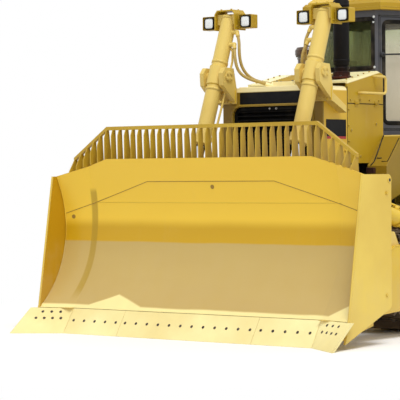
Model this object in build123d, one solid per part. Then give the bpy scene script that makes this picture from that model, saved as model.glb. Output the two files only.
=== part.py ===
from build123d import *
import os
from math import acos, atan2, cos, hypot, pi, radians, sin, sqrt, tan

# Crawler bulldozer with a semi-U blade, high sprockets and no ripper. Millimetres.
# +X points forward to the blade, +Y to the machine's left, +Z up. The origin lies on the ground,
# under the middle of the whole machine's box.

os.makedirs("parts", exist_ok=True)

# ---------------------------------------------------------------- driving dimensions
OVERALL_LENGTH = 7600.0  # end bit tips to the tow hitch
FRONT_X = OVERALL_LENGTH / 2
REAR_X = -OVERALL_LENGTH / 2

GAP = 0.3  # play between round pieces that seat in each other
SIDE_PLAY = 8.0  # play beside a pin joint's ears

# Track
TRACK_GAUGE = 2550.0
SHOE_WIDTH = 610.0
SHOE_COUNT = 44
GROUSER_HEIGHT = 95.0
GROUSER_BASE = 52.0
GROUSER_TIP = 20.0
SHOE_PLATE = 25.0
LINK_HALF_HEIGHT = 85.0
RAIL_INNER = 90.0  # from the track's centre line to the rail's inner side
RAIL_OUTER = 150.0
IDLER_PITCH_RADIUS = 460.0
SPROCKET_PITCH_RADIUS = 520.0
FRONT_IDLER_X = 900.0
IDLER_BASE = 3885.0  # between the idlers' axles
SPROCKET_FROM_REAR_IDLER = 985.0
SPROCKET_Z = 1720.0
SPROCKET_TEETH = 25

ROLLER_COUNT = 8
ROLLER_TREAD_RADIUS = 135.0
ROLLER_FLANGE_RADIUS = 158.0
ROLLER_FIRST_X = 400.0
ROLLER_LAST_X = -2480.0
AXLE_RADIUS = 45.0

FRAME_HALF_WIDTH = 200.0  # roller frame's beam and axle length
FRAME_CHEEK = 32.0
FRAME_BOTTOM_Z = 590.0
FRAME_TOP_Z = 900.0

# Hull
HULL_HALF_WIDTH = 620.0
BELLY_Z = 615.0
GUARD_FRONT_X = 1670.0
GUARD_REAR_X = 1170.0
GUARD_HALF_WIDTH = 770.0
GUARD_TOP_Z = 2985.0
GUARD_BOTTOM_Z = 980.0
GUARD_WALL = 60.0
GRILLE_HALF_WIDTH = 610.0
GRILLE_BOTTOM_Z = 1250.0
GRILLE_TOP_Z = 2750.0
GRILLE_CORNER = 110.0
SLAT_COUNT = 26

HOOD_FRONT_Z = 3050.0
HOOD_CREST_X = 530.0
HOOD_CREST_Z = 3190.0
HOOD_REAR_X = 405.0
HOOD_REAR_Z = 3150.0
HOOD_SEAM_Z = 2775.0  # between the top and the side panels
HOOD_FLANK_Z = 2395.0  # from here the side panel's rear edge slants forwards
HOOD_FLANK_X = 718.0
COWL_HALF_WIDTH = 470.0
HOOD_SIDE_BOTTOM_Z = 2045.0
SHEET = 25.0

# Cab
CAB_FRONT_X = 150.0
CAB_FRONT_HALF_WIDTH = 480.0
CAB_HINGE_X = -750.0
CAB_HALF_WIDTH = 880.0
CAB_REAR_X = -1450.0
CAB_FLOOR_Z = 2400.0
CAB_WALL = 60.0
DOOR_GAP = 8.0
CANOPY_TOP_Z = 4370.0
ROOF_TOP_Z = CANOPY_TOP_Z - 260.0
CAB_EAVES_Z = CANOPY_TOP_Z - 385.0

# Blade support and lift
ARM_PIVOT_X = -600.0
ARM_PIVOT_Z = 720.0
ARM_INNER_Y = 1745.0
ARM_WIDTH = 210.0
TRUNNION_RADIUS = 125.0
ARM_PIN_X = 2720.0
ARM_PIN_Z = 420.0
ARM_PIN_RADIUS = 60.0
LIFT_TRUNNION_X = 1830.0
LIFT_TRUNNION_Z = 3130.0
LIFT_Y = 740.0
LIFT_EYE_X = 2600.0
LIFT_EYE_Z = 1000.0
LIFT_BARREL_RADIUS = 98.0
LIFT_ROD_RADIUS = 55.0
LIFT_BARREL_ABOVE = 800.0
LIFT_BARREL_BELOW = 900.0
LIFT_ROD_LENGTH = 1895.0
LIFT_PIN_RADIUS = 60.0
TILT_BASE_X = 1300.0
TILT_BASE_Z = 1300.0
TILT_EYE_X = 2620.0
TILT_EYE_Z = 1620.0
TILT_BARREL_RADIUS = 95.0
TILT_ROD_RADIUS = 50.0
TILT_BARREL_LENGTH = 900.0
TILT_PIN_RADIUS = 45.0
EYE_HALF_WIDTH = 60.0
EAR_THICKNESS = 40.0

# Blade
BLADE_KINK_Y = 1550.0
BLADE_FOLD_Y = 1880.0
BLADE_SIDE_Y = 2330.0
BLADE_TOP_Z = 2120.0
BLADE_CORNER_Z = 1910.0
BLADE_FOOT_Z = 300.0
BLADE_TOP_X = 2990.0
BLADE_DEEP_X = 2860.0
BLADE_DEEP_Z = 1200.0
BLADE_FOOT_X = 3240.0
SKIN = 32.0
SIDE_PLATE = 32.0
EDGE_TIP_X = 3430.0
EDGE_THICKNESS = 45.0
EDGE_SEAM_Y = 1020.0
END_BIT_TIP_Y = 2430.0
SPILL_TOP_Z = 2515.0
SPILL_END_Z = 2140.0
SPILL_KINK_Y = 1600.0
SPILL_END_Y = 2150.0
SPILL_X = 2905.0
SPILL_RAIL = 45.0

HITCH_PIN_RADIUS = 38.0
HITCH_Z = 900.0

TRACK_Y = TRACK_GAUGE / 2
REAR_IDLER_X = FRONT_IDLER_X - IDLER_BASE
SPROCKET_X = REAR_IDLER_X + SPROCKET_FROM_REAR_IDLER
PITCH_LINE_Z = GROUSER_HEIGHT + SHOE_PLATE + LINK_HALF_HEIGHT
IDLER_Z = PITCH_LINE_Z + IDLER_PITCH_RADIUS

# Undercarriage and hull
ROLLER_Z = PITCH_LINE_Z + LINK_HALF_HEIGHT + ROLLER_TREAD_RADIUS + GAP
FINAL_DRIVE_RADIUS = 345.0
SUMP_HALF_WIDTH = HULL_HALF_WIDTH - 150.0
CASE_TOP_Z = 1980.0
RAIL_TOP_Z = 1290.0
EQUALIZER_DEPTH = 120.0
EQUALIZER_RISE = 190.0
PIVOT_SHAFT_X = -1450.0
PIVOT_SHAFT_Z = 830.0
EQUALIZER_X = 240.0

# Guard, hood and what stands on it
MANIFOLD_X = (1300.0, 1440.0)
MANIFOLD_HALF = 155.0
LIFT_TRUNNION_HALF = 112.0
POST_SINK = 30.0
UNDER_HALF = 240.0
PRECLEANER_X = 560.0
PRECLEANER_Y = 490.0 - GUARD_HALF_WIDTH
STACK_X = 950.0
STACK_Y = GUARD_HALF_WIDTH - 240.0
YOKE_DROP = 340.0

# Cab, doors and windows
DOOR_WALL = hypot(CAB_FRONT_X - CAB_HINGE_X, CAB_HALF_WIDTH - CAB_FRONT_HALF_WIDTH)
DOOR_START = 50.0
DOOR_END = DOOR_WALL - 40.0
DOOR_BOTTOM = 60.0
DOOR_TOP = CAB_EAVES_Z - CAB_FLOOR_Z - 60.0
DOOR_HINGE_OUT = 24.0
DOOR_HINGE_S = DOOR_END + 6.0
SCREEN_HALF = 440.0
SCREEN_BOTTOM_Z = 3260.0
SCREEN_TOP_Z = CAB_EAVES_Z - 115.0
WINDOW_BOTTOM_Z = 2950.0
SIDE_WINDOW_FRONT_X = CAB_HINGE_X - 110.0
SIDE_WINDOW_REAR_X = CAB_REAR_X + 110.0
REAR_WINDOW_HALF = 700.0
GLASS = 8.0
KNUCKLE = 45.0
KNUCKLE_RADIUS = 17.0
DOOR_HINGE_HEIGHTS = (260.0, DOOR_TOP - 345.0)
DOOR_WINDOW = (DOOR_START + 80, DOOR_END - 90, 160.0, DOOR_TOP - 90)

# Rollover posts, fenders, tank, hitch and rails
POST_X = -1640.0
POST_Y = 985.0
FENDER_INNER_Y = 890.0
FENDER_OUTER_Y = 1560.0
FENDER_TIP_X = 755.0
FENDER_TIP_Z = 2010.0
FENDER_NOSE_X = 415.0
FENDER_LOW_Z = CAB_FLOOR_Z - 8.0
FENDER_RAMP_X = -820.0
FENDER_STEP_X = -920.0
FENDER_REAR_X = -2900.0
FENDER_TOP_Z = 2540.0
FENDER_LIP = 90.0
FENDER_BOX_Y = 1060.0
FENDER_SKIRT_Z = 1550.0
FENDER_SKIRT_REAR = 255.0
TANK_HALF_WIDTH = 750.0
HITCH_PIN_X = REAR_X + 120.0
RAIL_RADIUS = 17.0
RAIL_Y = GUARD_HALF_WIDTH + 80.0
RAIL_BEND = 45.0
RAIL_TOP_X = 610.0
RAIL_REAR_X = 460.0
RAIL_FRONT_X = 930.0
RAIL_HIGH_Z = 3115.0
RAIL_LOW_Z = 2905.0

# Blade, arms and cylinders
SIDE_TOP_X = 3060.0
SIDE_DEEP_X = 2895.0
SIDE_FOOT_X = 3370.0
END_BIT_TOP_X = 3430.0
ARM_Y = ARM_INNER_Y + ARM_WIDTH / 2
EDGE_TOP_Z = BLADE_FOOT_Z - 4
RIB_PLACES = (0.0, 370.0, 1110.0, 1480.0, 2100.0)
RIB_HALF = 14.0
BEAM_BACK_X = 2865.0
BEAM_BOTTOM_Z = 40.0
BACK_CLEAR_X = 2805.0  # the lift barrels pass just behind this at full lift
SPILL_SPACES = 30
LIFT_TRUNNION = (LIFT_TRUNNION_X, LIFT_TRUNNION_Z)
LIFT_EYE = (LIFT_EYE_X, LIFT_EYE_Z)
TILT_BASE = (TILT_BASE_X, TILT_BASE_Z)
TILT_EYE = (TILT_EYE_X, TILT_EYE_Z)
LIFT_STROKE_IN = 1100.0
LAMP_OUT = 290.0
LAMP_SIZE = 190.0
TILT_ROD_LENGTH = 520.0

# Hoses of the left lift cylinder
HOSE_RADIUS = 19.0
PORT_REACH = 70.0
PORT_RADIUS = 28.0
ELBOW_LEG = 62.0
STUB_LENGTH = 130.0
HOSE_LEAD = 70.0
HOSE_PORTS = {"outer": 590.0, "inner": 425.0}
HOSE_LEAVES = {"outer": (0.209, -0.399, -0.893), "inner": (0.326, -0.287, -0.901)}
HOSE_ARRIVES = {"outer": (-0.45, -0.86, -0.22), "inner": (-0.62, -0.72, -0.32)}
HOSE_ENDS = {"outer": (1400.0, 215.0, 3035.0), "inner": (1490.0, 240.0, 3035.0)}
HOSE_ROUTES = {
    "outer": [(1670, 490, 3490), (1670, 465, 3410), (1660, 445, 3325), (1630, 430, 3250), (1590, 415, 3180),
              (1535, 385, 3120), (1480, 340, 3075)],
    "inner": [(1750, 510, 3340), (1755, 485, 3270), (1735, 460, 3200), (1695, 425, 3145), (1640, 385, 3110),
              (1585, 340, 3080)],
}


# ---------------------------------------------------------------- small helpers
def prism_y(outline, y0, y1):
    """Solid with an (x, z) outline between two y values."""
    wire = Polyline(*[(x, y0, z) for x, z in outline], close=True)
    return extrude(make_face(wire), y1 - y0, dir=(0, 1, 0))


def prism_x(outline, x0, x1):
    """Solid with a (y, z) outline between two x values."""
    wire = Polyline(*[(x0, y, z) for y, z in outline], close=True)
    return extrude(make_face(wire), x1 - x0, dir=(1, 0, 0))


def prism_z(outline, z0, z1):
    """Solid with an (x, y) outline between two z values."""
    wire = Polyline(*[(x, y, z0) for x, y in outline], close=True)
    return extrude(make_face(wire), z1 - z0, dir=(0, 0, 1))


def block(x0, x1, y0, y1, z0, z1):
    """Box between two corners."""
    size = (abs(x1 - x0), abs(y1 - y0), abs(z1 - z0))
    return Pos((x0 + x1) / 2, (y0 + y1) / 2, (z0 + z1) / 2) * Box(*size)


def bar(start, end, radius):
    """Round bar from one point to another."""
    start, end = Vector(*start), Vector(*end)
    place = Plane(origin=start, z_dir=end - start)
    length = (end - start).length
    return place * Cylinder(radius, length, align=(Align.CENTER, Align.CENTER, Align.MIN))


def axle(x, z, radius, y0, y1):
    """Round bar along Y."""
    return bar((x, min(y0, y1), z), (x, max(y0, y1), z), radius)


def turned_y(x, z, y, profile):
    """Solid turned about an axis along Y, from (radius, offset along Y) points."""
    face = make_face(Polyline(*[(x + r, y + w, z) for r, w in profile], close=True))
    return revolve(face, Axis((x, y, z), (0, 1, 0)), 360)


def solids_of(shape):
    """List of the solids in a shape or in a list of shapes."""
    if isinstance(shape, (list, tuple)):
        return [s for item in shape for s in solids_of(item)]
    return list(shape.solids())


def mirrored(shape):
    """The same piece on the other side of the machine."""
    return [mirror(s, about=Plane.XZ) for s in solids_of(shape)]


def both_sides(nodes, name, shape):
    """Store a left piece and its mirror image on the right."""
    nodes[name + "_left"] = solids_of(shape)
    nodes[name + "_right"] = mirrored(shape)


# ---------------------------------------------------------------- track
def loop_arcs():
    """Centres and pitch radii of the wheels that the track goes round, anticlockwise from the front."""
    return [
        (FRONT_IDLER_X, IDLER_Z, IDLER_PITCH_RADIUS),
        (SPROCKET_X, SPROCKET_Z, SPROCKET_PITCH_RADIUS),
        (REAR_IDLER_X, IDLER_Z, IDLER_PITCH_RADIUS),
    ]


def loop_spans():
    """Straight and round spans of the pitch line, as (kind, start, data, length)."""
    wheels = loop_arcs()
    normals = []
    for (xa, za, ra), (xb, zb, rb) in zip(wheels, wheels[1:] + wheels[:1]):
        distance = hypot(xb - xa, zb - za)
        heading = atan2(zb - za, xb - xa)
        normals.append(heading - acos((ra - rb) / distance))
    spans = []
    for i, (x, z, r) in enumerate(wheels):
        first, last = normals[i - 1], normals[i]
        sweep = (last - first) % (2 * pi)
        spans.append(("arc", (x, z, r), (first, sweep), r * sweep))
        xn, zn, rn = wheels[(i + 1) % len(wheels)]
        start = (x + r * cos(last), z + r * sin(last))
        end = (xn + rn * cos(last), zn + rn * sin(last))
        spans.append(("line", start, end, hypot(end[0] - start[0], end[1] - start[1])))
    return spans


def loop_point(distance):
    """Point of the pitch line at a distance along it."""
    for kind, a, b, length in loop_spans():
        if distance <= length:
            if kind == "arc":
                angle = b[0] + distance / a[2]
                return a[0] + a[2] * cos(angle), a[1] + a[2] * sin(angle)
            share = distance / length
            return a[0] + share * (b[0] - a[0]), a[1] + share * (b[1] - a[1])
        distance -= length
    return loop_point(distance)


LOOP_LENGTH = sum(span[3] for span in loop_spans())
PITCH = LOOP_LENGTH / SHOE_COUNT


def pitch_points():
    """The track pins' places; the first lies on the ground run, half a pitch before its middle."""
    spans = loop_spans()
    before = sum(span[3] for span in spans[:5])
    start = before + spans[5][3] / 2 - PITCH / 2
    return [loop_point((start + i * PITCH) % LOOP_LENGTH) for i in range(SHOE_COUNT)]


def chord_frames():
    """One frame a link: start, unit vector along, unit vector outwards and chord length."""
    pins = pitch_points()
    frames = []
    for (xa, za), (xb, zb) in zip(pins, pins[1:] + pins[:1]):
        length = hypot(xb - xa, zb - za)
        along = ((xb - xa) / length, (zb - za) / length)
        frames.append(((xa, za), along, (along[1], -along[0]), length))
    return frames


def offset_corners(height):
    """Corners of the chord polygon moved outwards by a height."""
    frames = chord_frames()
    corners = []
    for before, after in zip(frames[-1:] + frames[:-1], frames):
        (px, pz), n0, n1 = after[0], before[2], after[2]
        scale = height / (1 + n0[0] * n1[0] + n0[1] * n1[1])
        corners.append((px + (n0[0] + n1[0]) * scale, pz + (n0[1] + n1[1]) * scale))
    return corners


def shoe_outline():
    """Outer outline of the shoes: each has a plate and one grouser near its leading pin."""
    outline = []
    plate_top = LINK_HALF_HEIGHT + SHOE_PLATE
    tip_top = plate_top + GROUSER_HEIGHT
    corners = offset_corners(plate_top)
    for corner, (start, along, out, length) in zip(corners, chord_frames()):
        middle = length / 2

        def at(s, h):
            return start[0] + along[0] * s + out[0] * h, start[1] + along[1] * s + out[1] * h

        outline.append(corner)
        outline.append(at(middle - GROUSER_BASE / 2, plate_top))
        outline.append(at(middle - GROUSER_TIP / 2, tip_top))
        outline.append(at(middle + GROUSER_TIP / 2, tip_top))
        outline.append(at(middle + GROUSER_BASE / 2, plate_top))
    return outline


def track():
    """Closed loop: the shoes over the full width and two link rails inside them."""
    seat = offset_corners(LINK_HALF_HEIGHT)
    inner = offset_corners(-LINK_HALF_HEIGHT)
    half = SHOE_WIDTH / 2
    shoes = prism_y(shoe_outline(), TRACK_Y - half, TRACK_Y + half)
    shoes -= prism_y(seat, TRACK_Y - half - 1, TRACK_Y + half + 1)
    for side in (-1, 1):
        near, far = TRACK_Y + side * RAIL_INNER, TRACK_Y + side * RAIL_OUTER
        rail = prism_y(seat, near, far) - prism_y(inner, near, far)
        shoes += rail
    return shoes


def rail_seat_radius(pitch_radius):
    """Radius at which the rails' inner faces pass round a wheel."""
    return sqrt(pitch_radius ** 2 - (PITCH / 2) ** 2) - LINK_HALF_HEIGHT


def idler(x):
    """Idler wheel with a guide rim between the rails."""
    seat = rail_seat_radius(IDLER_PITCH_RADIUS) - GAP
    rim = seat + 35
    hub = 130.0
    profile = [
        (AXLE_RADIUS + GAP, -FRAME_HALF_WIDTH + 15), (hub, -FRAME_HALF_WIDTH + 15), (hub, -60),
        (seat - 70, -45), (seat - 50, -RAIL_OUTER), (seat, -RAIL_OUTER), (seat, -RAIL_INNER + 8),
        (rim, -RAIL_INNER + 22), (rim, RAIL_INNER - 22), (seat, RAIL_INNER - 8), (seat, RAIL_OUTER),
        (seat - 50, RAIL_OUTER), (seat - 70, 45), (hub, 60), (hub, FRAME_HALF_WIDTH - 15),
        (AXLE_RADIUS + GAP, FRAME_HALF_WIDTH - 15),
    ]
    return turned_y(x, IDLER_Z, TRACK_Y, profile)


def roller_places():
    """X of each track roller."""
    step = (ROLLER_LAST_X - ROLLER_FIRST_X) / (ROLLER_COUNT - 1)
    return [ROLLER_FIRST_X + i * step for i in range(ROLLER_COUNT)]


def roller(x):
    """Track roller with flanges outside the rails."""
    flange = RAIL_OUTER + 8
    end = FRAME_HALF_WIDTH - 8
    profile = [
        (AXLE_RADIUS + GAP, -end), (ROLLER_FLANGE_RADIUS, -end), (ROLLER_FLANGE_RADIUS, -flange),
        (ROLLER_TREAD_RADIUS, -flange), (ROLLER_TREAD_RADIUS, -RAIL_INNER), (ROLLER_TREAD_RADIUS - 35, -60),
        (ROLLER_TREAD_RADIUS - 35, 60), (ROLLER_TREAD_RADIUS, RAIL_INNER), (ROLLER_TREAD_RADIUS, flange),
        (ROLLER_FLANGE_RADIUS, flange), (ROLLER_FLANGE_RADIUS, end), (AXLE_RADIUS + GAP, end),
    ]
    return turned_y(x, ROLLER_Z, TRACK_Y, profile)


def track_frame():
    """Roller frame: beam between the idlers, cheeks that hold the axles, and the arm's trunnion."""
    nose, tail = FRONT_IDLER_X - 420, REAR_IDLER_X + 420
    y0, y1 = TRACK_Y - FRAME_HALF_WIDTH, TRACK_Y + FRAME_HALF_WIDTH
    beam = prism_y(
        [(nose, FRAME_BOTTOM_Z + 30), (nose, FRAME_TOP_Z - 90), (nose - 160, FRAME_TOP_Z),
         (tail + 160, FRAME_TOP_Z), (tail, FRAME_TOP_Z - 90), (tail, FRAME_BOTTOM_Z + 30)],
        y0, y1)
    shape = beam
    low = ROLLER_Z - AXLE_RADIUS - 30
    cheek = [
        (FRONT_IDLER_X + 110, IDLER_Z - 60), (FRONT_IDLER_X + 110, IDLER_Z + 60),
        (FRONT_IDLER_X - 150, IDLER_Z + 125), (nose - 260, FRAME_TOP_Z - 60), (tail + 260, FRAME_TOP_Z - 60),
        (REAR_IDLER_X + 150, IDLER_Z + 125), (REAR_IDLER_X - 110, IDLER_Z + 60),
        (REAR_IDLER_X - 110, IDLER_Z - 60), (REAR_IDLER_X + 260, IDLER_Z - 110),
        (ROLLER_LAST_X - 90, low), (ROLLER_FIRST_X + 90, low), (FRONT_IDLER_X - 260, IDLER_Z - 110),
    ]
    for side in (-1, 1):
        face = TRACK_Y + side * FRAME_HALF_WIDTH
        shape += prism_y(cheek, face, face + side * FRAME_CHEEK)
    axle_end = FRAME_HALF_WIDTH
    for x in (FRONT_IDLER_X, REAR_IDLER_X):
        shape += axle(x, IDLER_Z, AXLE_RADIUS, TRACK_Y - axle_end, TRACK_Y + axle_end)
    for x in roller_places():
        shape += axle(x, ROLLER_Z, AXLE_RADIUS, TRACK_Y - axle_end, TRACK_Y + axle_end)
    outer = TRACK_Y + FRAME_HALF_WIDTH + FRAME_CHEEK
    shape += axle(ARM_PIVOT_X, ARM_PIVOT_Z, TRUNNION_RADIUS + 45, outer - 5, ARM_INNER_Y - SIDE_PLAY)
    shape += axle(ARM_PIVOT_X, ARM_PIVOT_Z, TRUNNION_RADIUS, outer, ARM_INNER_Y + ARM_WIDTH - 40)
    return shape


def sprocket():
    """Toothed ring that turns the links."""
    root = SPROCKET_PITCH_RADIUS - 62
    tip = SPROCKET_PITCH_RADIUS - 8
    step = 2 * pi / SPROCKET_TEETH
    points = []
    for i in range(SPROCKET_TEETH):
        for share, radius in ((-0.34, root), (-0.13, tip), (0.13, tip), (0.34, root)):
            angle = (i + share) * step
            points.append((SPROCKET_X + radius * cos(angle), SPROCKET_Z + radius * sin(angle)))
    half = RAIL_INNER - 32
    ring = prism_y(points, TRACK_Y - half, TRACK_Y + half)
    return ring - axle(SPROCKET_X, SPROCKET_Z, FINAL_DRIVE_RADIUS + GAP, TRACK_Y - half - 1,
                       TRACK_Y + half + 1)


def final_drive():
    """Round gear housing from the hull's side out through the sprocket."""
    outer = SHOE_WIDTH / 2 + 25
    inner = TRACK_Y - HULL_HALF_WIDTH - 140
    profile = [
        (0, -inner), (FINAL_DRIVE_RADIUS - 60, -inner), (FINAL_DRIVE_RADIUS, -inner + 60),
        (FINAL_DRIVE_RADIUS, 170), (FINAL_DRIVE_RADIUS - 45, 190), (FINAL_DRIVE_RADIUS - 45, 250),
        (FINAL_DRIVE_RADIUS - 130, outer), (0, outer),
    ]
    return turned_y(SPROCKET_X, SPROCKET_Z, TRACK_Y, profile)


# ---------------------------------------------------------------- hull
def main_frame():
    """Gear case, two side rails, belly guard, pivot shafts and the hitch block's seat."""
    case = prism_y([(-3050, 700), (-3050, 1500), (-2500, CASE_TOP_Z), (-1000, CASE_TOP_Z), (-800, 1500),
                    (-800, 700)],
                   -HULL_HALF_WIDTH, HULL_HALF_WIDTH)
    shape = case
    for side in (-1, 1):
        rail = prism_y([(-850, 780), (-850, RAIL_TOP_Z), (GUARD_FRONT_X - 70, RAIL_TOP_Z),
                        (GUARD_FRONT_X - 70, GUARD_BOTTOM_Z)],
                       side * (HULL_HALF_WIDTH - 150), side * HULL_HALF_WIDTH)
        shape += rail
        shape += axle(SPROCKET_X, SPROCKET_Z, FINAL_DRIVE_RADIUS - 95, side * (HULL_HALF_WIDTH - 5),
                      side * (HULL_HALF_WIDTH + 140))
        post = side * POST_Y
        bracket = [(side * 480, CASE_TOP_Z - 5), (side * 610, CASE_TOP_Z - 5), (side * 700, 2280),
                   (post + side * 80, 2420), (post + side * 80, FENDER_TOP_Z - SHEET),
                   (side * 480, FENDER_TOP_Z - SHEET)]
        shape += prism_x(bracket, POST_X - 95, POST_X + 95)
        shape += axle(PIVOT_SHAFT_X, PIVOT_SHAFT_Z, 110, side * (HULL_HALF_WIDTH - 5),
                      side * (TRACK_Y - FRAME_HALF_WIDTH - FRAME_CHEEK))
    belly = prism_y([(-3050, BELLY_Z + 110), (-2850, BELLY_Z), (900, BELLY_Z), (1350, BELLY_Z + 240),
                     (1350, BELLY_Z + 275), (880, BELLY_Z + 35), (-2850, BELLY_Z + 35),
                     (-3050, BELLY_Z + 145)],
                    -HULL_HALF_WIDTH, HULL_HALF_WIDTH)
    shape += block(700, 820, -HULL_HALF_WIDTH + 20, HULL_HALF_WIDTH - 20, BELLY_Z + 20, 1150)
    half = EQUALIZER_DEPTH / 2
    shape += block(EQUALIZER_X - half, EQUALIZER_X + half, -HULL_HALF_WIDTH + 20, HULL_HALF_WIDTH - 20,
                   FRAME_TOP_Z + EQUALIZER_RISE - 10, RAIL_TOP_Z - 30)
    saddle = block(EQUALIZER_X - half - 12, EQUALIZER_X + half + 12, -HULL_HALF_WIDTH - 1,
                   HULL_HALF_WIDTH + 1,
                   BELLY_Z + 60, FRAME_TOP_Z + EQUALIZER_RISE + GAP)
    frame = shape - saddle
    return [frame, belly - frame]


def equalizer_bar():
    """Cross bar, pinned under the hull's middle, whose ends rest on the roller frames."""
    reach = TRACK_Y + 60
    outline = [(-reach, FRAME_TOP_Z), (-reach, FRAME_TOP_Z + 80), (-300, FRAME_TOP_Z + EQUALIZER_RISE),
               (300, FRAME_TOP_Z + EQUALIZER_RISE), (reach, FRAME_TOP_Z + 80), (reach, FRAME_TOP_Z),
               (TRACK_Y - FRAME_HALF_WIDTH - 40, FRAME_TOP_Z), (250, FRAME_TOP_Z - 60),
               (-250, FRAME_TOP_Z - 60), (-TRACK_Y + FRAME_HALF_WIDTH + 40, FRAME_TOP_Z)]
    return prism_x(outline, EQUALIZER_X - EQUALIZER_DEPTH / 2, EQUALIZER_X + EQUALIZER_DEPTH / 2)


def rounded_opening(half_width, z0, z1, corner, x0, x1):
    """Plug for a window in a wall across the machine, with rounded top corners."""
    height = z1 - z0
    plug = Pos((x0 + x1) / 2, 0, (z0 + z1) / 2) * Box(x1 - x0, 2 * half_width, height)
    upper = [e for e in plug.edges().filter_by(Axis.X) if e.center().Z > (z0 + z1) / 2]
    return fillet(upper, corner)


def radiator_guard():
    """Heavy front frame around the radiator, open behind, with the grille's window."""
    shell = block(GUARD_REAR_X, GUARD_FRONT_X, -GUARD_HALF_WIDTH, GUARD_HALF_WIDTH, GUARD_BOTTOM_Z,
                  GUARD_TOP_Z)
    top_edges = [e for e in shell.edges().filter_by(Axis.X) if e.center().Z > GUARD_TOP_Z - 1]
    shell = fillet(top_edges, 70)
    inside = block(GUARD_REAR_X - 1, GUARD_FRONT_X - 90, -GUARD_HALF_WIDTH + GUARD_WALL,
                   GUARD_HALF_WIDTH - GUARD_WALL, RAIL_TOP_Z - 20, GUARD_TOP_Z - GUARD_WALL)
    window = rounded_opening(GRILLE_HALF_WIDTH, GRILLE_BOTTOM_Z, GRILLE_TOP_Z, GRILLE_CORNER,
                             GUARD_FRONT_X - 95, GUARD_FRONT_X + 1)
    notch = block(GUARD_REAR_X - 1, GUARD_FRONT_X - 70, -HULL_HALF_WIDTH, HULL_HALF_WIDTH,
                  GUARD_BOTTOM_Z - 1, RAIL_TOP_Z)
    manifold = block(*MANIFOLD_X, -MANIFOLD_HALF, MANIFOLD_HALF, GUARD_TOP_Z - 5, GUARD_TOP_Z + 75)
    guard = shell - inside - window - notch + manifold
    for name, end in HOSE_ENDS.items():
        stub = bar(end, stepped(end, HOSE_ARRIVES[name], STUB_LENGTH), PORT_RADIUS - 3)
        guard += stub + mirror(stub, about=Plane.XZ)
    return guard


def radiator_grille():
    """Grille plate that fills the guard's window: a rim with level slats."""
    x1 = GUARD_FRONT_X - 22
    x0 = x1 - 40
    plate = rounded_opening(GRILLE_HALF_WIDTH, GRILLE_BOTTOM_Z, GRILLE_TOP_Z, GRILLE_CORNER, x0, x1)
    hole = rounded_opening(GRILLE_HALF_WIDTH - 45, GRILLE_BOTTOM_Z + 45, GRILLE_TOP_Z - 45,
                           GRILLE_CORNER - 45,
                           x0 - 1, x1 + 1)
    rim = plate - hole
    step = (GRILLE_TOP_Z - GRILLE_BOTTOM_Z - 90) / SLAT_COUNT
    for i in range(SLAT_COUNT):
        z = GRILLE_BOTTOM_Z + 45 + (i + 0.5) * step
        rim += prism_y([(x0 + 2, z - 16), (x0 + 2, z - 6), (x1 - 2, z + 16), (x1 - 2, z + 6)],
                       -GRILLE_HALF_WIDTH + 43, GRILLE_HALF_WIDTH - 43)
    return rim


def lift_yoke():
    """Bracket on the guard's front corner that holds a lift cylinder's trunnion between two ears."""
    ear_in = LIFT_Y - LIFT_TRUNNION_HALF - SIDE_PLAY
    ear_out = LIFT_Y + LIFT_TRUNNION_HALF + SIDE_PLAY
    outline = [(GUARD_FRONT_X, LIFT_TRUNNION_Z - YOKE_DROP), (GUARD_FRONT_X, GUARD_TOP_Z - 20),
               (LIFT_TRUNNION_X - 100, LIFT_TRUNNION_Z + 100), (LIFT_TRUNNION_X + 60, LIFT_TRUNNION_Z + 110),
               (LIFT_TRUNNION_X + 115, LIFT_TRUNNION_Z + 40), (LIFT_TRUNNION_X + 105, LIFT_TRUNNION_Z - 110),
               (LIFT_TRUNNION_X + 20, LIFT_TRUNNION_Z - 190)]
    inner = prism_y(outline, ear_in - 70, ear_in)
    outer = prism_y(outline, ear_out, ear_out + 60)
    foot = block(GUARD_FRONT_X, GUARD_FRONT_X + 30, ear_in - 70, ear_out + 60, LIFT_TRUNNION_Z - YOKE_DROP,
                 LIFT_TRUNNION_Z - 160)
    brace = prism_y([(GUARD_FRONT_X - 330, GUARD_TOP_Z - 330), (GUARD_FRONT_X - 330, GUARD_TOP_Z - 250),
                     (GUARD_FRONT_X + 2, GUARD_TOP_Z - 60), (GUARD_FRONT_X + 2, GUARD_TOP_Z - 170)],
                    GUARD_HALF_WIDTH, ear_out + 20)
    shape = inner + outer + foot + brace
    hole = axle(LIFT_TRUNNION_X, LIFT_TRUNNION_Z, LIFT_PIN_RADIUS + GAP, ear_in - 80, ear_out + 80)
    return shape - hole


def hood_line(lowered=0.0):
    """Top line of the hood as (x, z) points from the guard to its rear lip, lowered by a distance."""
    return [(GUARD_REAR_X, HOOD_FRONT_Z - lowered), (HOOD_CREST_X, HOOD_CREST_Z - lowered),
            (HOOD_REAR_X, HOOD_REAR_Z - lowered)]


def hood_top():
    """Engine cover that rises from the guard to a crest, with the cowl that leads to the windscreen."""
    y = GUARD_HALF_WIDTH
    outer = prism_y([(GUARD_REAR_X, HOOD_SEAM_Z)] + hood_line() + [(HOOD_REAR_X, HOOD_SEAM_Z)], -y, y)
    (x0, z0), crest, (x1, z1) = hood_line(SHEET)
    lower = prism_y([(x0 + 1, HOOD_SEAM_Z - 1), (x0 + 1, z0), crest, (x1 - 1, z1), (x1 - 1, HOOD_SEAM_Z - 1)],
                    SHEET - y, y - SHEET)
    cowl = block(CAB_FRONT_X + DOOR_GAP, HOOD_REAR_X + SHEET, -COWL_HALF_WIDTH, COWL_HALF_WIDTH,
                 HOOD_SEAM_Z, HOOD_REAR_Z - SHEET / 2)
    return outer - lower + cowl


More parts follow.
